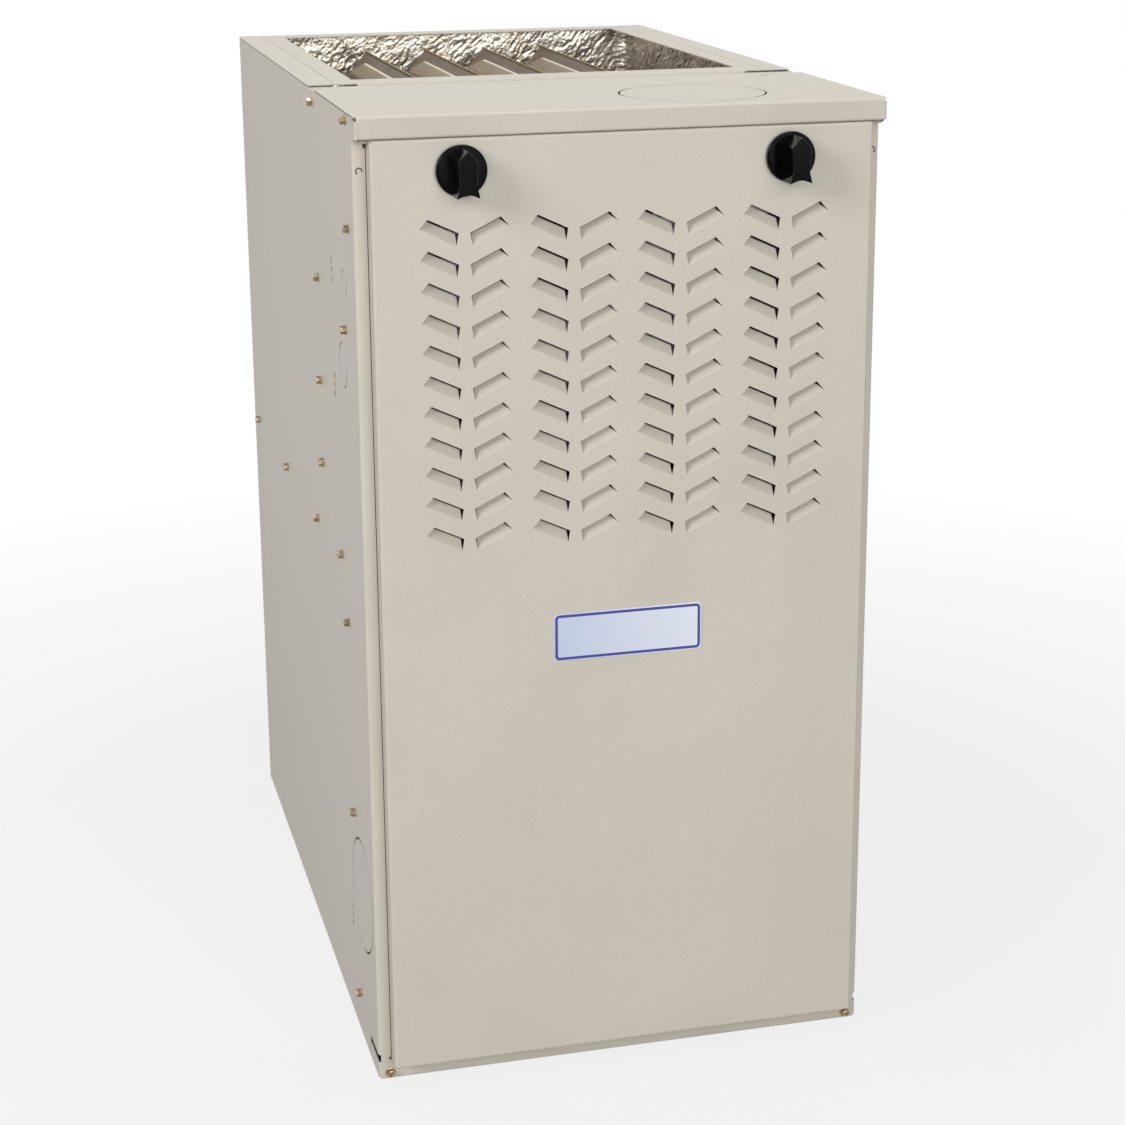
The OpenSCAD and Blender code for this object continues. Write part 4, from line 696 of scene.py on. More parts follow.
def door_gap_shade_strips():
    """Dark strips behind the front flanges, which show in the slots beside the door's edges: a dark
    sheet put there as painted shade of the gap between door and flange.
    """
    bm = bmesh.new()
    # How far outside the door's edge and behind the flange's face
    section = ((-1.6, 1.3), (-1.2, 0.7), (8.6, 0.7), (9.0, 1.3))
    for side in (-1, 1):
        swept(bm, up_side(side), [(DOOR_X + out, FRONT_Y + behind) for out, behind in section],
              DOOR_BOTTOM_Z + 0.5, LIP_BOTTOM_Z)
    turn_outward(bm, (0, FRONT_Y + 60, TOP_Z / 2))
    mesh = walled(in_metres(bm, "door_gasket_foam"), 0.3)
    # Painted shade: this dark colour stands for the shade in the gap beside the door
    gap_shade = material("closed_cell_foam_black", moulded_plastic, "#625d55", "#4a4640", 0.9, 0.5)
    made = coated("door_gasket_foam", mesh, gap_shade)
    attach(made, BODY_OF["casing_wrap"])


def raised_tab(bm, x, y, z):
    """A raised half-round tab at a sheet's rear edge, in the groove that was pressed round it."""
    rows = [[bm.verts.new((u, v, z + rise))
             for u, v in arc((x, y), TAB_R - inset, 180, 360, TAB_STEPS)]
            for inset, rise in TAB_SECTION]
    for low, high in zip(rows, rows[1:]):
        for k in range(TAB_STEPS):
            bm.faces.new((low[k], low[k + 1], high[k + 1], high[k]))


def flue_plate():
    """The top plate over the burner compartment, with its front lip, a flue knock-out and two
    half-round raised tabs at its rear edge."""
    bm = bmesh.new()
    r = BEND_R
    lip_in, lip_lean, relief = 10, 0.8, 2.0
    flue = knockout((FLUE_X, FRONT_Y + FLUE_FROM_FRONT), FLUE_R, 4, 6, 35)
    tab_edges = [p for x in (TAB_X, -TAB_X)
                 for p in arc((x, PLATE_REAR_Y), TAB_R, 360, 180, TAB_STEPS)]
    flat(bm, lambda u, v: (u, v, TOP_Z),
         [(-HALF_W + relief, DOOR_Y + r), (HALF_W - relief, DOOR_Y + r), (HALF_W, DOOR_Y + 2 * r),
          (HALF_W, PLATE_REAR_Y), *tab_edges, (-HALF_W, PLATE_REAR_Y),
          (-HALF_W, DOOR_Y + 2 * r)], flue)
    swept(bm, along_x,
          bend((DOOR_Y + r, TOP_Z - r), 90, 180)
          + bend((DOOR_Y + lip_lean + r, LIP_BOTTOM_Z + r), 180, 270)
          + [(DOOR_Y + lip_in, LIP_BOTTOM_Z)],
          -HALF_W + relief, HALF_W - relief)
    # The returns round the front corners
    low_z, high_z, rear_y = LIP_BOTTOM_Z + 0.4, TOP_Z - 3.4, FRONT_Y - 0.1
    for side in (-1, 1):
        swept(bm, up_side(side),
              arc((HALF_W - relief, DOOR_Y + relief), relief, 270, 360, BEND_STEPS)
              + [(HALF_W, rear_y)], low_z, high_z)
        raised_tab(bm, side * TAB_X, PLATE_REAR_Y, TOP_Z)
    sheet_piece("flue_plate_sheet", bm, (0, DOOR_Y + 60, TOP_Z - 60), "flue_plate")


def cross_rail():
    """The rail behind the flue plate: a low strip, a joggle, and the strip that edges the
    supply outlet."""
    bm = bmesh.new()
    r = BEND_R
    low_z, edge_z = TOP_Z - RAIL_DROP, TOP_Z - 9
    groove_z, groove_y = low_z - 0.6, RAIL_STEP_Y - 1.6
    swept(bm, along_x,
          [(RAIL_FRONT_Y, low_z - 3), (RAIL_FRONT_Y + 0.5, low_z - 1), (RAIL_FRONT_Y + 2, low_z),
           (RAIL_STEP_Y - 2.2, low_z), (groove_y, groove_z)], -HALF_W + SHEET_T, HALF_W - SHEET_T)
    swept(bm, along_x,
          [(groove_y, groove_z), (RAIL_STEP_Y - 0.8, groove_z), (RAIL_STEP_Y - 0.2, TOP_Z - 0.6),
           (RAIL_STEP_Y + 0.4, TOP_Z)]
          + bend((RAIL_REAR_Y - r, TOP_Z - r), 90, 0) + [(RAIL_REAR_Y, edge_z)],
          -OUTLET_X, OUTLET_X)
    sheet_piece("cross_rail_sheet", bm, (0, RAIL_STEP_Y, TOP_Z - 40), "cross_rail")


def base_strip():
    """The strip below the door: its face, a return round each corner and the foot turned in."""
    bm = bmesh.new()
    r = BEND_R
    swept(bm, along_x,
          [(FRONT_Y, STRIP_H)] + bend((FRONT_Y + r, r), 180, 270)
          + [(FRONT_Y + BASE_FLANGE_W, 0)], -HALF_W + r, HALF_W - r)
    for side in (-1, 1):
        swept(bm, up_side(side), bend((HALF_W - r, FRONT_Y + r), 270, 360)
              + [(HALF_W, FRONT_Y + STRIP_RETURN_L)], r, STRIP_H)
    sheet_piece("base_strip_sheet", bm, (0, FRONT_Y + 60, 60), "base_strip")


casing()
door_gap_shade_strips()
flue_plate()
cross_rail()
base_strip()


# ---- Outer door ----

def louvre_outline(middle_x, fold_z, side):
    """Outline of one louvre's cut in the door's face."""
    slope = side * LOUVRE_SLOPE
    corners = [(-LOUVRE_FOLD_L / 2, 0), (LOUVRE_FOLD_L / 2, 0), (LOUVRE_CUT_L / 2, LOUVRE_H),
               (-LOUVRE_CUT_L / 2, LOUVRE_H)]
    return [(middle_x + x * cos(slope) - z * sin(slope), fold_z + x * sin(slope) + z * cos(slope))
            for x, z in corners]


def louvre_flap():
    """One flap in its own plane: X along the fold, Y up the door, Z out of it. It leaves the fold
    in a bend and then runs straight, a little clear of the hole's ends."""
    bm = bmesh.new()
    bend_steps = 4
    rows = [(BEND_R * sin(a), BEND_R * (cos(a) - 1), BEND_R * a)
            for a in (LOUVRE_ANGLE * i / bend_steps for i in range(bend_steps + 1))]
    straight = LOUVRE_H - BEND_R * LOUVRE_ANGLE
    y, z, _ = rows[-1]
    rows.append((y + straight * cos(LOUVRE_ANGLE), z - straight * sin(LOUVRE_ANGLE), LOUVRE_H))
    taper = LOUVRE_CUT_L - LOUVRE_FOLD_L - 2 * LOUVRE_END_GAP
    made = []
    for y, z, along in rows:
        half = (LOUVRE_FOLD_L + taper * along / LOUVRE_H) / 2
        made.append([bm.verts.new((x, y, z)) for x in (-half, half)])
    for low, high in zip(made, made[1:]):
        bm.faces.new((low[0], low[1], high[1], high[0]))
    return in_metres(bm, "louvre_flap")


def inputs_of(tree, **sizes):
    """Names a tree's inputs and gives back their sockets, of the kinds that the values have."""
    tree.interface.new_socket("Geometry", in_out="INPUT", socket_type="NodeSocketGeometry")
    tree.interface.new_socket("Geometry", in_out="OUTPUT", socket_type="NodeSocketGeometry")
    kind = {int: "NodeSocketInt", float: "NodeSocketFloat", bpy.types.Object: "NodeSocketObject"}
    for name, value in sizes.items():
        tree.interface.new_socket(name.replace("_", " ").capitalize(), in_out="INPUT",
                                  socket_type=kind[type(value)])
    return node(tree, "NodeGroupInput").outputs


def grown(tree, mesh, **sizes):
    """Runs a tree on a mesh with these sizes and gives back the plain mesh."""
    holder = in_scene(tree.name, mesh)
    modifier = holder.modifiers.new(tree.name, "NODES")
    modifier.node_group = tree
    socket_of = {item.name: item.identifier for item in tree.interface.items_tree
                 if item.in_out == "INPUT"}
    for name, value in sizes.items():
        modifier[socket_of[name.replace("_", " ").capitalize()]] = value
    return plain(holder)


def louvre_tree(sizes):
    """Repeats a flap in pairs that lean together, on a grid in the door's plane."""
    tree = bpy.data.node_groups.new("louvre_field", "GeometryNodeTree")
    given = inputs_of(tree, **sizes)
    spans = []
    for count, pitch in (("Columns", "Column pitch"), ("Rows", "Row pitch")):
        gaps = node(tree, "ShaderNodeMath", {0: given[count], 1: 1.0}, operation="SUBTRACT")
        spans.append(node(tree, "ShaderNodeMath", {0: gaps, 1: given[pitch]},
                          operation="MULTIPLY"))
    grid = node(tree, "GeometryNodeMeshGrid",
                {"Size X": spans[0], "Size Y": spans[1], "Vertices X": given["Columns"],
                 "Vertices Y": given["Rows"]})
    both = node(tree, "GeometryNodeJoinGeometry")
    for side in (-1, 1):
        shift = node(tree, "ShaderNodeMath", {0: given["Offset"], 1: float(side)},
                     operation="MULTIPLY")
        lean = node(tree, "ShaderNodeMath", {0: given["Slope"], 1: float(side)},
                    operation="MULTIPLY")
        move = node(tree, "ShaderNodeCombineXYZ", {"X": shift})
        turn = node(tree, "ShaderNodeCombineXYZ", {"Z": lean})
        places = node(tree, "GeometryNodeSetPosition",
                      {"Geometry": grid.outputs["Mesh"], "Offset": move})
        flaps = node(tree, "GeometryNodeInstanceOnPoints",
                     {"Points": places, "Instance": given["Geometry"], "Rotation": turn})
        tree.links.new(flaps.outputs[0], both.inputs[0])
    upright = node(tree, "GeometryNodeTransform", {"Geometry": both, "Rotation": (pi / 2, 0, 0)})
    solid = node(tree, "GeometryNodeRealizeInstances", {0: upright})
    painted = node(tree, "GeometryNodeSetMaterial",
                   {"Geometry": solid, "Material": FINISHES["cabinet_paint"]})
    node(tree, "NodeGroupOutput", {0: painted})
    return tree


# The door's face, as (x, z), and the cut at the top of its returns' back edge
FACE_LOW, FACE_HIGH = (-DOOR_X, DOOR_BOTTOM_Z), (DOOR_X, DOOR_HIGH.z)
CORNER_STEPS = 5
BACK_CUT_D, BACK_CUT_L = 2.5, 7


def rounded_frame(inset, depth, corner):
    """A ring of points round the door's face, drawn in by inset, at a depth behind it. Each side
    has two more points than its corners: close to the cut's end, or at the middle."""
    ring = []
    above, below = BACK_CUT_L - 0.1, BACK_CUT_L + 0.1
    for k, (sx, sz) in enumerate(((1, 1), (-1, 1), (-1, -1), (1, -1))):
        centre = ((FACE_HIGH[0] if sx > 0 else FACE_LOW[0]) - sx * (inset + corner),
                  (FACE_HIGH[1] if sz > 0 else FACE_LOW[1]) - sz * (inset + corner))
        ring += [(x, depth, z)
                 for x, z in arc(centre, corner, 90 * k, 90 * (k + 1), CORNER_STEPS)]
        if k == 1:
            ring += [(FACE_LOW[0] + inset, depth, FACE_HIGH[1] - h) for h in (above, below)]
        elif k == 3:
            ring += [(FACE_HIGH[0] - inset, depth, FACE_HIGH[1] - h) for h in (below, above)]
        else:
            middle_x = (FACE_LOW[0] + FACE_HIGH[0]) / 2
            ring += [(middle_x + (1 - k) * d, depth, centre[1] + sz * corner) for d in (1, -1)]
    return ring


def outer_door():
    """The door: one pan of sheet with rolled edges, lanced louvres and two knob holes, and the
    tongues that hook behind the bottom strip."""
    bm = bmesh.new()
    r = BEND_R
    low, high = FACE_LOW, FACE_HIGH
    columns = [(c - (LOUVRE_COLUMNS - 1) / 2) * LOUVRE_COLUMN_PITCH for c in range(LOUVRE_COLUMNS)]
    folds = [TOP_Z - LOUVRE_TOP_BELOW - row * LOUVRE_ROW_PITCH for row in range(LOUVRE_ROWS)]
    holes = [louvre_outline(x + side * LOUVRE_OFFSET, z, side)
             for x in columns for z in folds for side in (-1, 1)]
    holes += [arc((side * KNOB_X, KNOB_Z), KNOB_STEM_R + 0.05, 0, 352.5, 47) for side in (-1, 1)]
    flat(bm, lambda u, v: (u, DOOR_Y, v),
         [(low[0] + r, low[1] + r), (high[0] - r, low[1] + r), (high[0] - r, high[1] - r),
          (low[0] + r, high[1] - r)], holes)
    # The rolled edge and the returns, as rings from the face to the back
    rings = [rounded_frame(r * (1 - sin(a)), DOOR_Y + r * (1 - cos(a)), r * sin(a))
             for a in (pi / 2 * i / BEND_STEPS for i in range(BEND_STEPS + 1))]
    rings.append([(x, y - (BACK_CUT_D if z > high[1] - BACK_CUT_L else 0), z)
                  for x, y, z in rounded_frame(0, DOOR_BACK_Y, r)])
    # The corners stay open where the bends meet
    open_rows = (2, 3, 4)
    rows = [[bm.verts.new(p) for p in ring] for ring in rings]
    for i, (front, back) in enumerate(zip(rows, rows[1:])):
        for k in range(len(front)):
            after = (k + 1) % len(front)
            at_corner = k % (CORNER_STEPS + 3) < CORNER_STEPS
            if not (at_corner and i in open_rows):
                bm.faces.new((front[k], front[after], back[after], back[k]))
    hook_y, hook_r = FRONT_Y + SHEET_T + 0.4, 1
    hook_in, hook_l = 40, 70
    for side in (-1, 1):
        swept(bm, lambda u, v, w: (side * w, u, v),
              [(DOOR_BACK_Y, DOOR_BOTTOM_Z)]
              + arc((hook_y - hook_r, DOOR_BOTTOM_Z - hook_r), hook_r, 90, 0, 4)
              + [(hook_y, DOOR_LOW.z)], DOOR_X - hook_in - hook_l, DOOR_X - hook_in)
    bmesh.ops.remove_doubles(bm, verts=bm.verts, dist=MERGE_MM)
    bmesh.ops.dissolve_degenerate(bm, dist=0.001, edges=bm.edges)
    turn_outward(bm, (0, FRONT_Y - 4, TOP_Z / 2))
    sizes = {"columns": LOUVRE_COLUMNS, "rows": LOUVRE_ROWS,
             "column_pitch": LOUVRE_COLUMN_PITCH * MM, "row_pitch": LOUVRE_ROW_PITCH * MM,
             "offset": LOUVRE_OFFSET * MM, "slope": LOUVRE_SLOPE}
    flaps = grown(louvre_tree(sizes), louvre_flap(), **sizes)
    flaps.transform(Matrix.Translation((0, DOOR_Y * MM, (folds[0] + folds[-1]) / 2 * MM)))
    flaps.transform(Matrix.Scale(1 / MM, 4))
    bm.from_mesh(flaps)
    finished("outer_door_sheet", walled(in_metres(bm, "outer_door_sheet")), ("outer_door",))


outer_door()


# ---- Turned and moulded pieces ----

def neighbours(ring):
    """Each point of a closed ring between the ones before and after it."""
    return zip(ring[-1:] + ring[:-1], ring, ring[1:] + ring[:1])


def drawn_in(outline, inset):
    """An outline that runs counter-clockwise, moved inwards."""
    moved = []
    for before, here, after in neighbours(outline):
        first = Vector((here[1] - before[1], before[0] - here[0])).normalized()
        second = Vector((after[1] - here[1], here[0] - after[0])).normalized()
        out = (first + second) / (1 + first.dot(second))
        moved.append((here[0] - out.x * inset, here[1] - out.y * inset))
    return moved


def rounded(outline, cut, steps=4):
    """An outline whose corners are rounded, each from cut millimetres before it to as far after."""
    smooth = []
    for before, here, after in neighbours([Vector(p) for p in outline]):
        back, ahead = before - here, after - here
        start = here + back.normalized() * min(cut, back.length * 0.45)
        end = here + ahead.normalized() * min(cut, ahead.length * 0.45)
        for i in range(steps + 1):
            t = i / steps
            smooth.append(tuple(start * (1 - t) ** 2 + here * 2 * t * (1 - t) + end * t ** 2))
    return smooth


def joined_rings(bm, rows):
    """Faces between closed rings of the same length; a row of one vertex closes to a point."""
    for low, high in zip(rows, rows[1:]):
        count = max(len(low), len(high))
        for k in range(count):
            after = (k + 1) % count
            ring = [low[k % len(low)], low[after % len(low)],
                    high[after % len(high)], high[k % len(high)]]
            bm.faces.new(list(dict.fromkeys(ring)))


def layered(bm, outline, layers, place, top=True):
    """A solid in layers, each the outline drawn in by an inset at a height; place puts
    (u, v, height) in space. Its top can stay open."""
    rows = [[bm.verts.new(place(u, v, height)) for u, v in drawn_in(outline, inset)]
            for inset, height in layers]
    joined_rings(bm, rows)
    bm.faces.new(rows[0][::-1])
    if top:
        bm.faces.new(rows[-1])


def lathe(bm, profile, steps, place):
    """A solid turned from (radius, height) points; place puts (u, v, height) in space."""
    rows = []
    for radius, height in profile:
        turns = [2 * pi * k / steps for k in range(steps if radius > 0 else 1)]
        rows.append([bm.verts.new(place(radius * cos(a), radius * sin(a), height))
                     for a in turns])
    joined_rings(bm, rows)


def outward(bm):
    """Turns the faces of closed shells outwards."""
    bmesh.ops.remove_doubles(bm, verts=bm.verts, dist=MERGE_MM)
    bmesh.ops.recalc_face_normals(bm, faces=bm.faces)
    return bm


def grip_outline():
    """The grip seen from the front: an arrow head above, a fishtail below."""
    tail, tip_z, middle_z = 0.45 * KNOB_R, -0.9 * KNOB_R, -0.76 * KNOB_R
    steps = 7
    concave = [(tail * (2 * i / steps - 1), tip_z + (middle_z - tip_z) * sin(pi * i / steps))
               for i in range(1, steps)]
    left = [(0, 0.9 * KNOB_R), (-0.39 * KNOB_R, 0.49 * KNOB_R), (-0.33 * KNOB_R, -0.4 * KNOB_R),
            (-tail, tip_z)]
    right = [(-x, z) for x, z in reversed(left[1:])]
    return rounded(left + concave + right, 0.9)


def knob(name, x, replaced):
    """A quarter-turn knob: flat skirt with a rolled rim, arrow-shaped grip with three moulded
    pips, stem and flatted cam."""
    base_y = DOOR_Y - 0.3

    def place(u, v, height):
        return (x + u, base_y - height, KNOB_Z + v)
    bm = bmesh.new()
    skirt_h, rim = 6.0, 2.6
    lathe(bm, [(0, 0), (KNOB_R - 0.3, 0)]
          + arc((KNOB_R - rim, skirt_h - rim), rim, 0, 90, 8) + [(0, skirt_h)], 96, place)
    layered(bm, grip_outline(), [(0, 1), (0, KNOB_H - 0.9), (0.1, KNOB_H - 0.45),
                                 (0.35, KNOB_H - 0.12), (0.8, KNOB_H)], place)
    pips, pip_r, pip_h = ((-1.0, -4.2), (-3.4, -10.0), (1.4, -10.4)), 1.5, 0.5
    pip = [(0, -0.4), (pip_r, -0.4), *((pip_r * cos(a), pip_h * sin(a)) for a in (0, 0.5, 1.0)),
           (0, pip_h)]
    for u, v in pips:
        lathe(bm, pip, 20, lambda p, q, height: place(u + p, v + q, KNOB_H + height))
    cam_end = base_y - FRONT_Y + 1.2
    cam_l, flat_half = 9, 4.5
    stem_end = cam_end + cam_l
    lathe(bm, [(0, 1), (KNOB_STEM_R, 1), (KNOB_STEM_R, stem_end), (0, stem_end)], 48, place)
    cam = [p for p in arc((0, 0), KNOB_STEM_R, 0, 355, 71) if abs(p[1]) < flat_half]
    layered(bm, cam, [(0.6, cam_end), (0, cam_end + 0.6), (0, stem_end + 0.5)], place)
    finished(name, in_metres(outward(bm), name), (replaced,), 30)


def nameplate():
    """The plate on the door, its corners rounded and its edge eased."""
    low, high = box_mm("nameplate")
    half_w, half_h = (high.x - low.x) / 2, (high.z - low.z) / 2
    middle_z = (low.z + high.z) / 2
    thickness = high.y - low.y
    corner = 4
    outline = []
    for k, (sx, sz) in enumerate(((1, 1), (-1, 1), (-1, -1), (1, -1))):
        centre = (sx * (half_w - corner), sz * (half_h - corner))
        outline += arc(centre, corner, 90 * k, 90 * k + 90, 8)
    bm = bmesh.new()
    layered(bm, outline, [(0, 0), (0, thickness - 0.3), (0.1, thickness - 0.1), (0.3, thickness)],
            lambda u, v, height: (u, high.y - height, middle_z + v))
    finished("nameplate_sheet", in_metres(outward(bm), "nameplate_sheet"), ("nameplate",))


knob("knob_left_moulded", -KNOB_X, "knob_left")
knob("knob_right_moulded", KNOB_X, "knob_right")
nameplate()


# ---- Screws ----

def screw():
    """A hexagon washer head with a slot, and its shank: Z points out of the sheet."""
    bm = bmesh.new()

    def place(u, v, height):
        return (u, v, height)
    shank_and_washer = [(0, -0.9), (2.1, -0.9), (2.1, 0.02), (4.4, 0.02), (4.6, 0.25), (4.5, 0.55),
                        (4.1, 0.85), (3.5, 0.95), (0, 0.95)]
    lathe(bm, shank_and_washer, 28, place)
    across_flats, head_h = 6.4, SCREW_HEAD_H - 0.05
    corner = across_flats / sqrt(3)
    corners = [(corner * cos(pi / 3 * k), corner * sin(pi / 3 * k)) for k in range(6)]
    hexagon = rounded(corners, 0.3, 2)
    layers = [(0, 0.8), (0, head_h - 0.55), (0.2, head_h - 0.2), (0.75, head_h)]
    layered(bm, hexagon, layers, place, top=False)
    slot_l, slot_w, slot_d = 4.4, 1.0, 1.2
    slot = oblong(0, 0, slot_l, slot_w)
    flat(bm, lambda u, v: place(u, v, head_h), drawn_in(hexagon, layers[-1][0]), [slot])
    pit = [[bm.verts.new(place(u, v, height)) for u, v in slot]
           for height in (head_h, head_h - slot_d)]
    joined_rings(bm, pit)
    bm.faces.new(pit[1])
    return in_metres(outward(bm), "hex_washer_head_screw")


def shells_of(cad_name):
    """Lowest and highest corner of each separate shell of a CAD node, in metres."""
    copy = bmesh.new()
    copy.from_mesh(frame["nodes"][cad_name].data)
    copy.transform(frame["nodes"][cad_name].matrix_world)
    bmesh.ops.remove_doubles(copy, verts=copy.verts, dist=1e-5)
    left = set(copy.verts)
    found = []
    while left:
        shell, edge = set(), [left.pop()]
        while edge:
            vert = edge.pop()
            shell.add(vert)
            for link in vert.link_edges:
                other = link.other_vert(vert)
                if other in left:
                    left.remove(other)
                    edge.append(other)
        spots = [vert.co for vert in shell]
        low = Vector([min(s[i] for s in spots) for i in range(3)])
        high = Vector([max(s[i] for s in spots) for i in range(3)])
        found.append((low, high))
    copy.free()
    return sorted(found, key=lambda pair: tuple(pair[0]))


def screw_tree(sizes):
    """Puts a screw on every point, its head along the point's facing and turned at random."""
    tree = bpy.data.node_groups.new("screw_places", "GeometryNodeTree")
    given = inputs_of(tree, **sizes)
    source = node(tree, "GeometryNodeObjectInfo", {"Object": given["Screw"]})
    facing = node(tree, "GeometryNodeInputNamedAttribute", {"Name": "facing"},
                  data_type="FLOAT_VECTOR")
    aligned = node(tree, "FunctionNodeAlignRotationToVector", {"Vector": facing}, axis="Z")
    spin = node(tree, "FunctionNodeRandomValue", {"Min": 0.0, "Max": 2 * pi, "Seed": given["Seed"]},
                data_type="FLOAT")
    about = node(tree, "ShaderNodeCombineXYZ", {"Z": spin.outputs["Value"]})
    turned = node(tree, "FunctionNodeRotateRotation", {"Rotation": aligned, "Rotate By": about},
                  rotation_space="LOCAL")
    placed = node(tree, "GeometryNodeInstanceOnPoints",
                  {"Points": given["Geometry"], "Instance": source.outputs["Geometry"],
                   "Rotation": turned})
    solid = node(tree, "GeometryNodeRealizeInstances", {0: placed})
    zinc = node(tree, "GeometryNodeSetMaterial",
                {"Geometry": solid, "Material": FINISHES["screw_zinc"]})
    node(tree, "NodeGroupOutput", {0: zinc})
    return tree


def screws(*cad_names):
    """Every sheet-metal screw, on the places of the CAD's."""
    places, facings = [], []
    for cad_name in cad_names:
        for low, high in shells_of(cad_name):
            spot = (low + high) / 2
            if high.x - low.x < high.y - low.y:
                side = 1 if spot.x > 0 else -1
                places.append((side * HALF_W * MM, spot.y, spot.z))
                facings.append((side, 0, 0))
            else:
                places.append((spot.x, low.y + SCREW_HEAD_H * MM, spot.z))
                facings.append((0, -1, 0))
    points = bpy.data.meshes.new("screw_points")
    points.from_pydata(places, [], [])
    kept = points.attributes.new("facing", "FLOAT_VECTOR", "POINT")
    kept.data.foreach_set("vector", [c for facing in facings for c in facing])
    pattern = in_scene("hex_washer_head_screw", screw())
    sizes = {"screw": pattern, "seed": 7}
    mesh = grown(screw_tree(sizes), points, **sizes)
    bpy.data.objects.remove(pattern)
    finished("sheet_metal_screws", mesh, cad_names, 30)


screws("side_screws", "strip_screws", "inner_panel_screws")


# ---- Foil-faced blanket ----

def crumpled(spot):
    """Height of the foil over its blanket, -1 to 1: long creases that lean, with smaller ones
    between them. A place is divided by the size of each crease in millimetres."""
    run = spot.x - spot.y
    across, along = run - 0.8 * spot.z, run + spot.z
    bend_to = noise.noise(spot / 11)
    long = 1 - 2 * abs(noise.noise(Vector((across / 4.2 + bend_to, along / 20, spot.y / 90))))
    short = 1 - 2 * abs(noise.noise(Vector((across / 2.6 - bend_to, along / 5, spot.y / 60 + 9))))
    swell = noise.noise(spot / 24)
    return 0.6 * long + 0.35 * short + 0.9 * swell


def foil_liner():
    """The blanket round the cells: foil crumpled over its inner face, a soft corner at the rear,
    and its cut edges at the top and the front."""
    outer_x, outer_y = LINER_HIGH.x, LINER_HIGH.y
    inner_x, inner_y = outer_x - LINER_T, outer_y - LINER_T
    corner, outer_corner, corner_steps = 16, 2, 10
    # Spacing of the foil's points, close where it is seen
    fine, wall_fine, coarse, fine_h = 1.3, 1.9, 9.0, 105
    # Inner and outer place of each column of points, and the way that the foil faces
    path = [((-inner_x, y), (-outer_x, y), (1, 0))
            for y in spaced(LINER_LOW.y, inner_y - corner, wall_fine)]
    turn = arc((-inner_x + corner, inner_y - corner), corner, 180, 90, corner_steps)
    out = arc((-outer_x + outer_corner, outer_y - outer_corner), outer_corner, 180, 90,
              corner_steps)
    path += [(p, q, (-cos(radians(a)), -sin(radians(a))))
             for p, q, a in zip(turn, out, [180 - 9 * i for i in range(corner_steps + 1)])][1:-1]
    path += [((x, inner_y), (x, outer_y), (0, -1)) for x in spaced(-inner_x + corner, 0, fine)]
    path += [((-p[0], p[1]), (-q[0], q[1]), (-n[0], n[1])) for p, q, n in reversed(path[:-1])]
    bottom, top, under_rail = LINER_LOW.z, LINER_HIGH.z, TOP_Z - 10
    heights = spaced(bottom, top - fine_h, coarse)[:-1] + spaced(top - fine_h, top, fine)
    bm = bmesh.new()
    columns = []
    for inner, outer, facing in path:
        end_z = top if inner[1] > RAIL_REAR_Y else under_rail
        column = [bm.verts.new((outer[0], outer[1], bottom))]
        for z in heights:
            spot = Vector((inner[0], inner[1], min(z, end_z)))
            lift = FOIL_RELIEF * crumpled(spot)
            column.append(bm.verts.new(spot + Vector((facing[0], facing[1], 0)) * lift))
        column.append(bm.verts.new((outer[0], outer[1], end_z)))
        columns.append(column)
    for left, right in zip(columns, columns[1:]):
        for k in range(len(left)):
            after = (k + 1) % len(left)
            bm.faces.new((left[k], right[k], right[after], left[after]))
    for ends in (columns[0], columns[-1]):
        bm.faces.new(ends)
    finished("foil_liner_blanket", in_metres(outward(bm), "foil_liner_blanket"),
             ("foil_liner",), 60)


def spaced(start, end, step):
    """Even places from start to end, no further apart than a step."""
    count = max(1, ceil(abs(end - start) / step))
    return [start + (end - start) * i / count for i in range(count + 1)]


foil_liner()


# ---- Heat-exchanger cells ----

def eased_step(t):
    """0 to 1 with a soft start and end."""
    t = max(0.0, min(1.0, t))
    return t * t * (3 - 2 * t)


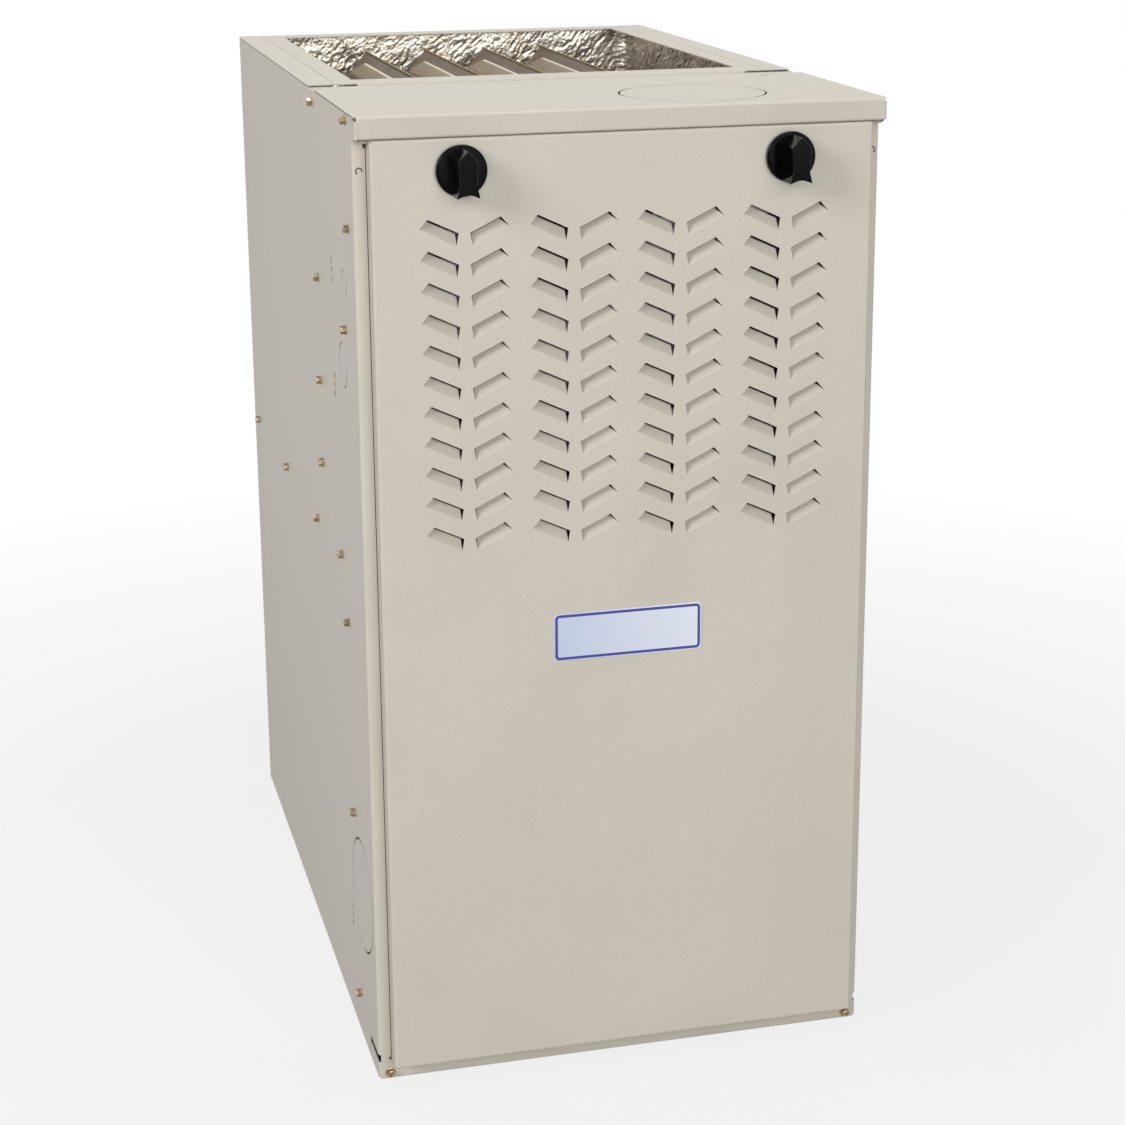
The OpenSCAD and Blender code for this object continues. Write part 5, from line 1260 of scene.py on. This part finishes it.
def heat_cell(name):
    """A cell: seam, roof with the pass pressed out of it, and the folded passes below."""
    low, high = box_mm(name)
    middle_x = (low.x + high.x) / 2
    half_w = (high.x - low.x) / 2
    seam_half_w, seam_h = 0.8, 2.6
    seam_z = high.z - seam_h
    shoulder_z = high.z - CELL_ROOF_H
    slope = Vector((half_w - seam_half_w, shoulder_z - seam_z))
    slope_l = slope.length
    along, out = slope.normalized(), Vector((-slope.y, slope.x)).normalized()
    passes = 4
    pass_pitch = (shoulder_z - low.z) / passes
    neck_h, neck_half_w = 0.22 * pass_pitch, 7
    # The pressing: where it starts below the seam, how far it stands out, how wide its rim is, how
    # long it fades out above the shoulder, and where its upper rear corner is cut off
    start_s, press, rim_w, fade_l = 8.5, 2.4, 2.6, 9
    corner_y, corner_s = high.y - 42, start_s
    end_y, end_s = high.y - 13, 22.0
    cut = Vector((end_y - corner_y, end_s - corner_s)).normalized()

    def pressed(s, y):
        """How far inside the pressing's edge a place is, as 0 to 1."""
        past = min(s - start_s, (s - corner_s) * cut.x - (y - corner_y) * cut.y, end_y - y)
        return eased_step(past / rim_w)

    # Half a section from the seam down, as across, height, and how far it is seam
    seam_rows = [(0.2, high.z, 1.0), (seam_half_w, high.z - 0.5, 1.0),
                 (seam_half_w, high.z - 1.1, 0.0), (seam_half_w, seam_z, 0.0)]
    down = spaced(0, slope_l, 1.3)[1:]
    below = []
    for step in range(passes):
        top = shoulder_z - step * pass_pitch
        end = top - pass_pitch
        neck_end = end + (0.7 * neck_h if step < passes - 1 else 0.6)
        below += [(half_w, top - 3), (half_w, (top + end) / 2), (half_w, end + 2 * neck_h),
                  (neck_half_w, end + neck_h), (neck_half_w, neck_end)]
    below.append((neck_half_w - 0.6, low.z))
    steps = spaced(low.y, corner_y - 20, 12)[:-1] + spaced(corner_y - 20, high.y, 1.6)
    bm = bmesh.new()
    seam_layer = bm.verts.layers.float.new("seam")
    press_layer = bm.verts.layers.float.new("pressed")
    sections = []
    for y in steps:
        half = [(x, z, seam, 0.0) for x, z, seam in seam_rows]
        for s in down:
            raised = pressed(s, y)
            lift = press * raised * eased_step((slope_l - s) / fade_l)
            spot = Vector((seam_half_w, seam_z)) + along * s + out * lift
            half.append((spot.x, spot.y, 0.0, raised))
        half += [(x, z, 0.0, 1.0) for x, z in below]
        row = []
        for x, z, seam, raised in half + [(-x, *others) for x, *others in reversed(half)]:
            vert = bm.verts.new((middle_x + x, y, z))
            vert[seam_layer] = seam
            vert[press_layer] = raised
            row.append(vert)
        sections.append(row)
    joined_rings(bm, sections)
    bm.faces.new(sections[0][::-1])
    bm.faces.new(sections[-1])
    bmesh.ops.recalc_face_normals(bm, faces=bm.faces)
    finished(name + "_pressed", in_metres(bm, name + "_pressed", merge=False), (name,), 40)


for cell in range(1, CELL_COUNT + 1):
    heat_cell(f"cell_{cell}")


# ---- Floor, light and camera ----

AROUND_LEVEL = 0.04


def seen_as_background(tree):
    """1 for the camera, and for what metal mirrors and glass lets through, and 0 for light."""
    rays = node(tree, "ShaderNodeLightPath")
    seen = node(tree, "ShaderNodeMath", {0: rays.outputs["Is Camera Ray"],
                                         1: rays.outputs["Is Glossy Ray"]}, operation="MAXIMUM")
    seen_all = node(tree, "ShaderNodeMath", {0: seen, 1: rays.outputs["Is Transmission Ray"]},
                    operation="MAXIMUM")
    return seen_all.outputs[0]


def floor_paper(tree, place):
    """Matt pale paper that goes over into the white background away from the furnace."""
    away = node(tree, "ShaderNodeVectorMath", {0: place}, operation="LENGTH")
    fade = node(tree, "ShaderNodeMapRange", {"Value": away.outputs["Value"], "From Min": 0.6,
                                             "From Max": 1.6, "To Min": 0.80, "To Max": 1.0})
    share = node(tree, "ShaderNodeMath", {0: seen_as_background(tree), 1: fade},
                 operation="MULTIPLY")
    paper = node(tree, "ShaderNodeBsdfDiffuse", {"Color": linear("#bebdbb")})
    white = node(tree, "ShaderNodeEmission", {"Color": (1, 1, 1, 1), "Strength": 1.0})
    return node(tree, "ShaderNodeMixShader", {0: share, 1: paper, 2: white})


def studio_floor():
    """A plain floor, just below the furnace's base."""
    reach, below = 6.0, -0.0005
    mesh = bpy.data.meshes.new("studio_floor")
    corners = [(x * reach, y * reach, below) for x, y in ((-1, -1), (1, -1), (1, 1), (-1, 1))]
    mesh.from_pydata(corners, [], [(0, 1, 2, 3)])
    mesh.materials.append(material("studio_floor_paper", floor_paper))
    in_scene("studio_floor", mesh)


def studio_world():
    """Even grey light from all round, seen as white by the camera, by metal and through glass."""
    world = bpy.data.worlds.new("studio")
    world.use_nodes = True
    tree = world.node_tree
    tree.nodes.clear()
    level = node(tree, "ShaderNodeMapRange",
                 {"Value": seen_as_background(tree), "To Min": AROUND_LEVEL, "To Max": 1.0})
    sky = node(tree, "ShaderNodeBackground", {"Color": (1, 1, 1, 1), "Strength": level})
    node(tree, "ShaderNodeOutputWorld", {"Surface": sky})
    scene.world = world


def softbox(name, direction, distance, size, level):
    """A square softbox aimed at the furnace's middle; level is the brightness that it gives a
    white card facing it."""
    aim = Vector((0, 0, 0.42))
    towards = Vector(direction).normalized()
    lamp = bpy.data.lights.new(name, "AREA")
    lamp.shape = "SQUARE"
    lamp.size = size
    # A white card at this distance shows level when the lamp gives this many watts
    lamp.energy = level * (pi * distance) ** 2
    holder = in_scene(name, lamp)
    holder.location = aim + towards * distance
    holder.rotation_euler = towards.to_track_quat("Z", "Y").to_euler()


studio_world()
softbox("key_left", (-0.774, -0.457, 0.441), 6.0, 2.2, 0.50)
softbox("fill_front", (0.1, -0.97, 0.2), 6.0, 4.5, 0.67)
softbox("overhead", (0.0, 0.05, 1.0), 3.6, 2.2, 0.60)
studio_floor()

lens = bpy.data.cameras.new("photo_view")
lens.lens = 76.88
lens.shift_x = -0.0069
lens.shift_y = -0.0804
camera = in_scene("photo_view", lens)
camera.location = (-0.5274, -2.2370, 1.0753)
camera.rotation_euler = (radians(74.611), radians(0.362), radians(-14.491))
scene.camera = camera
scene.view_settings.view_transform = "Standard"
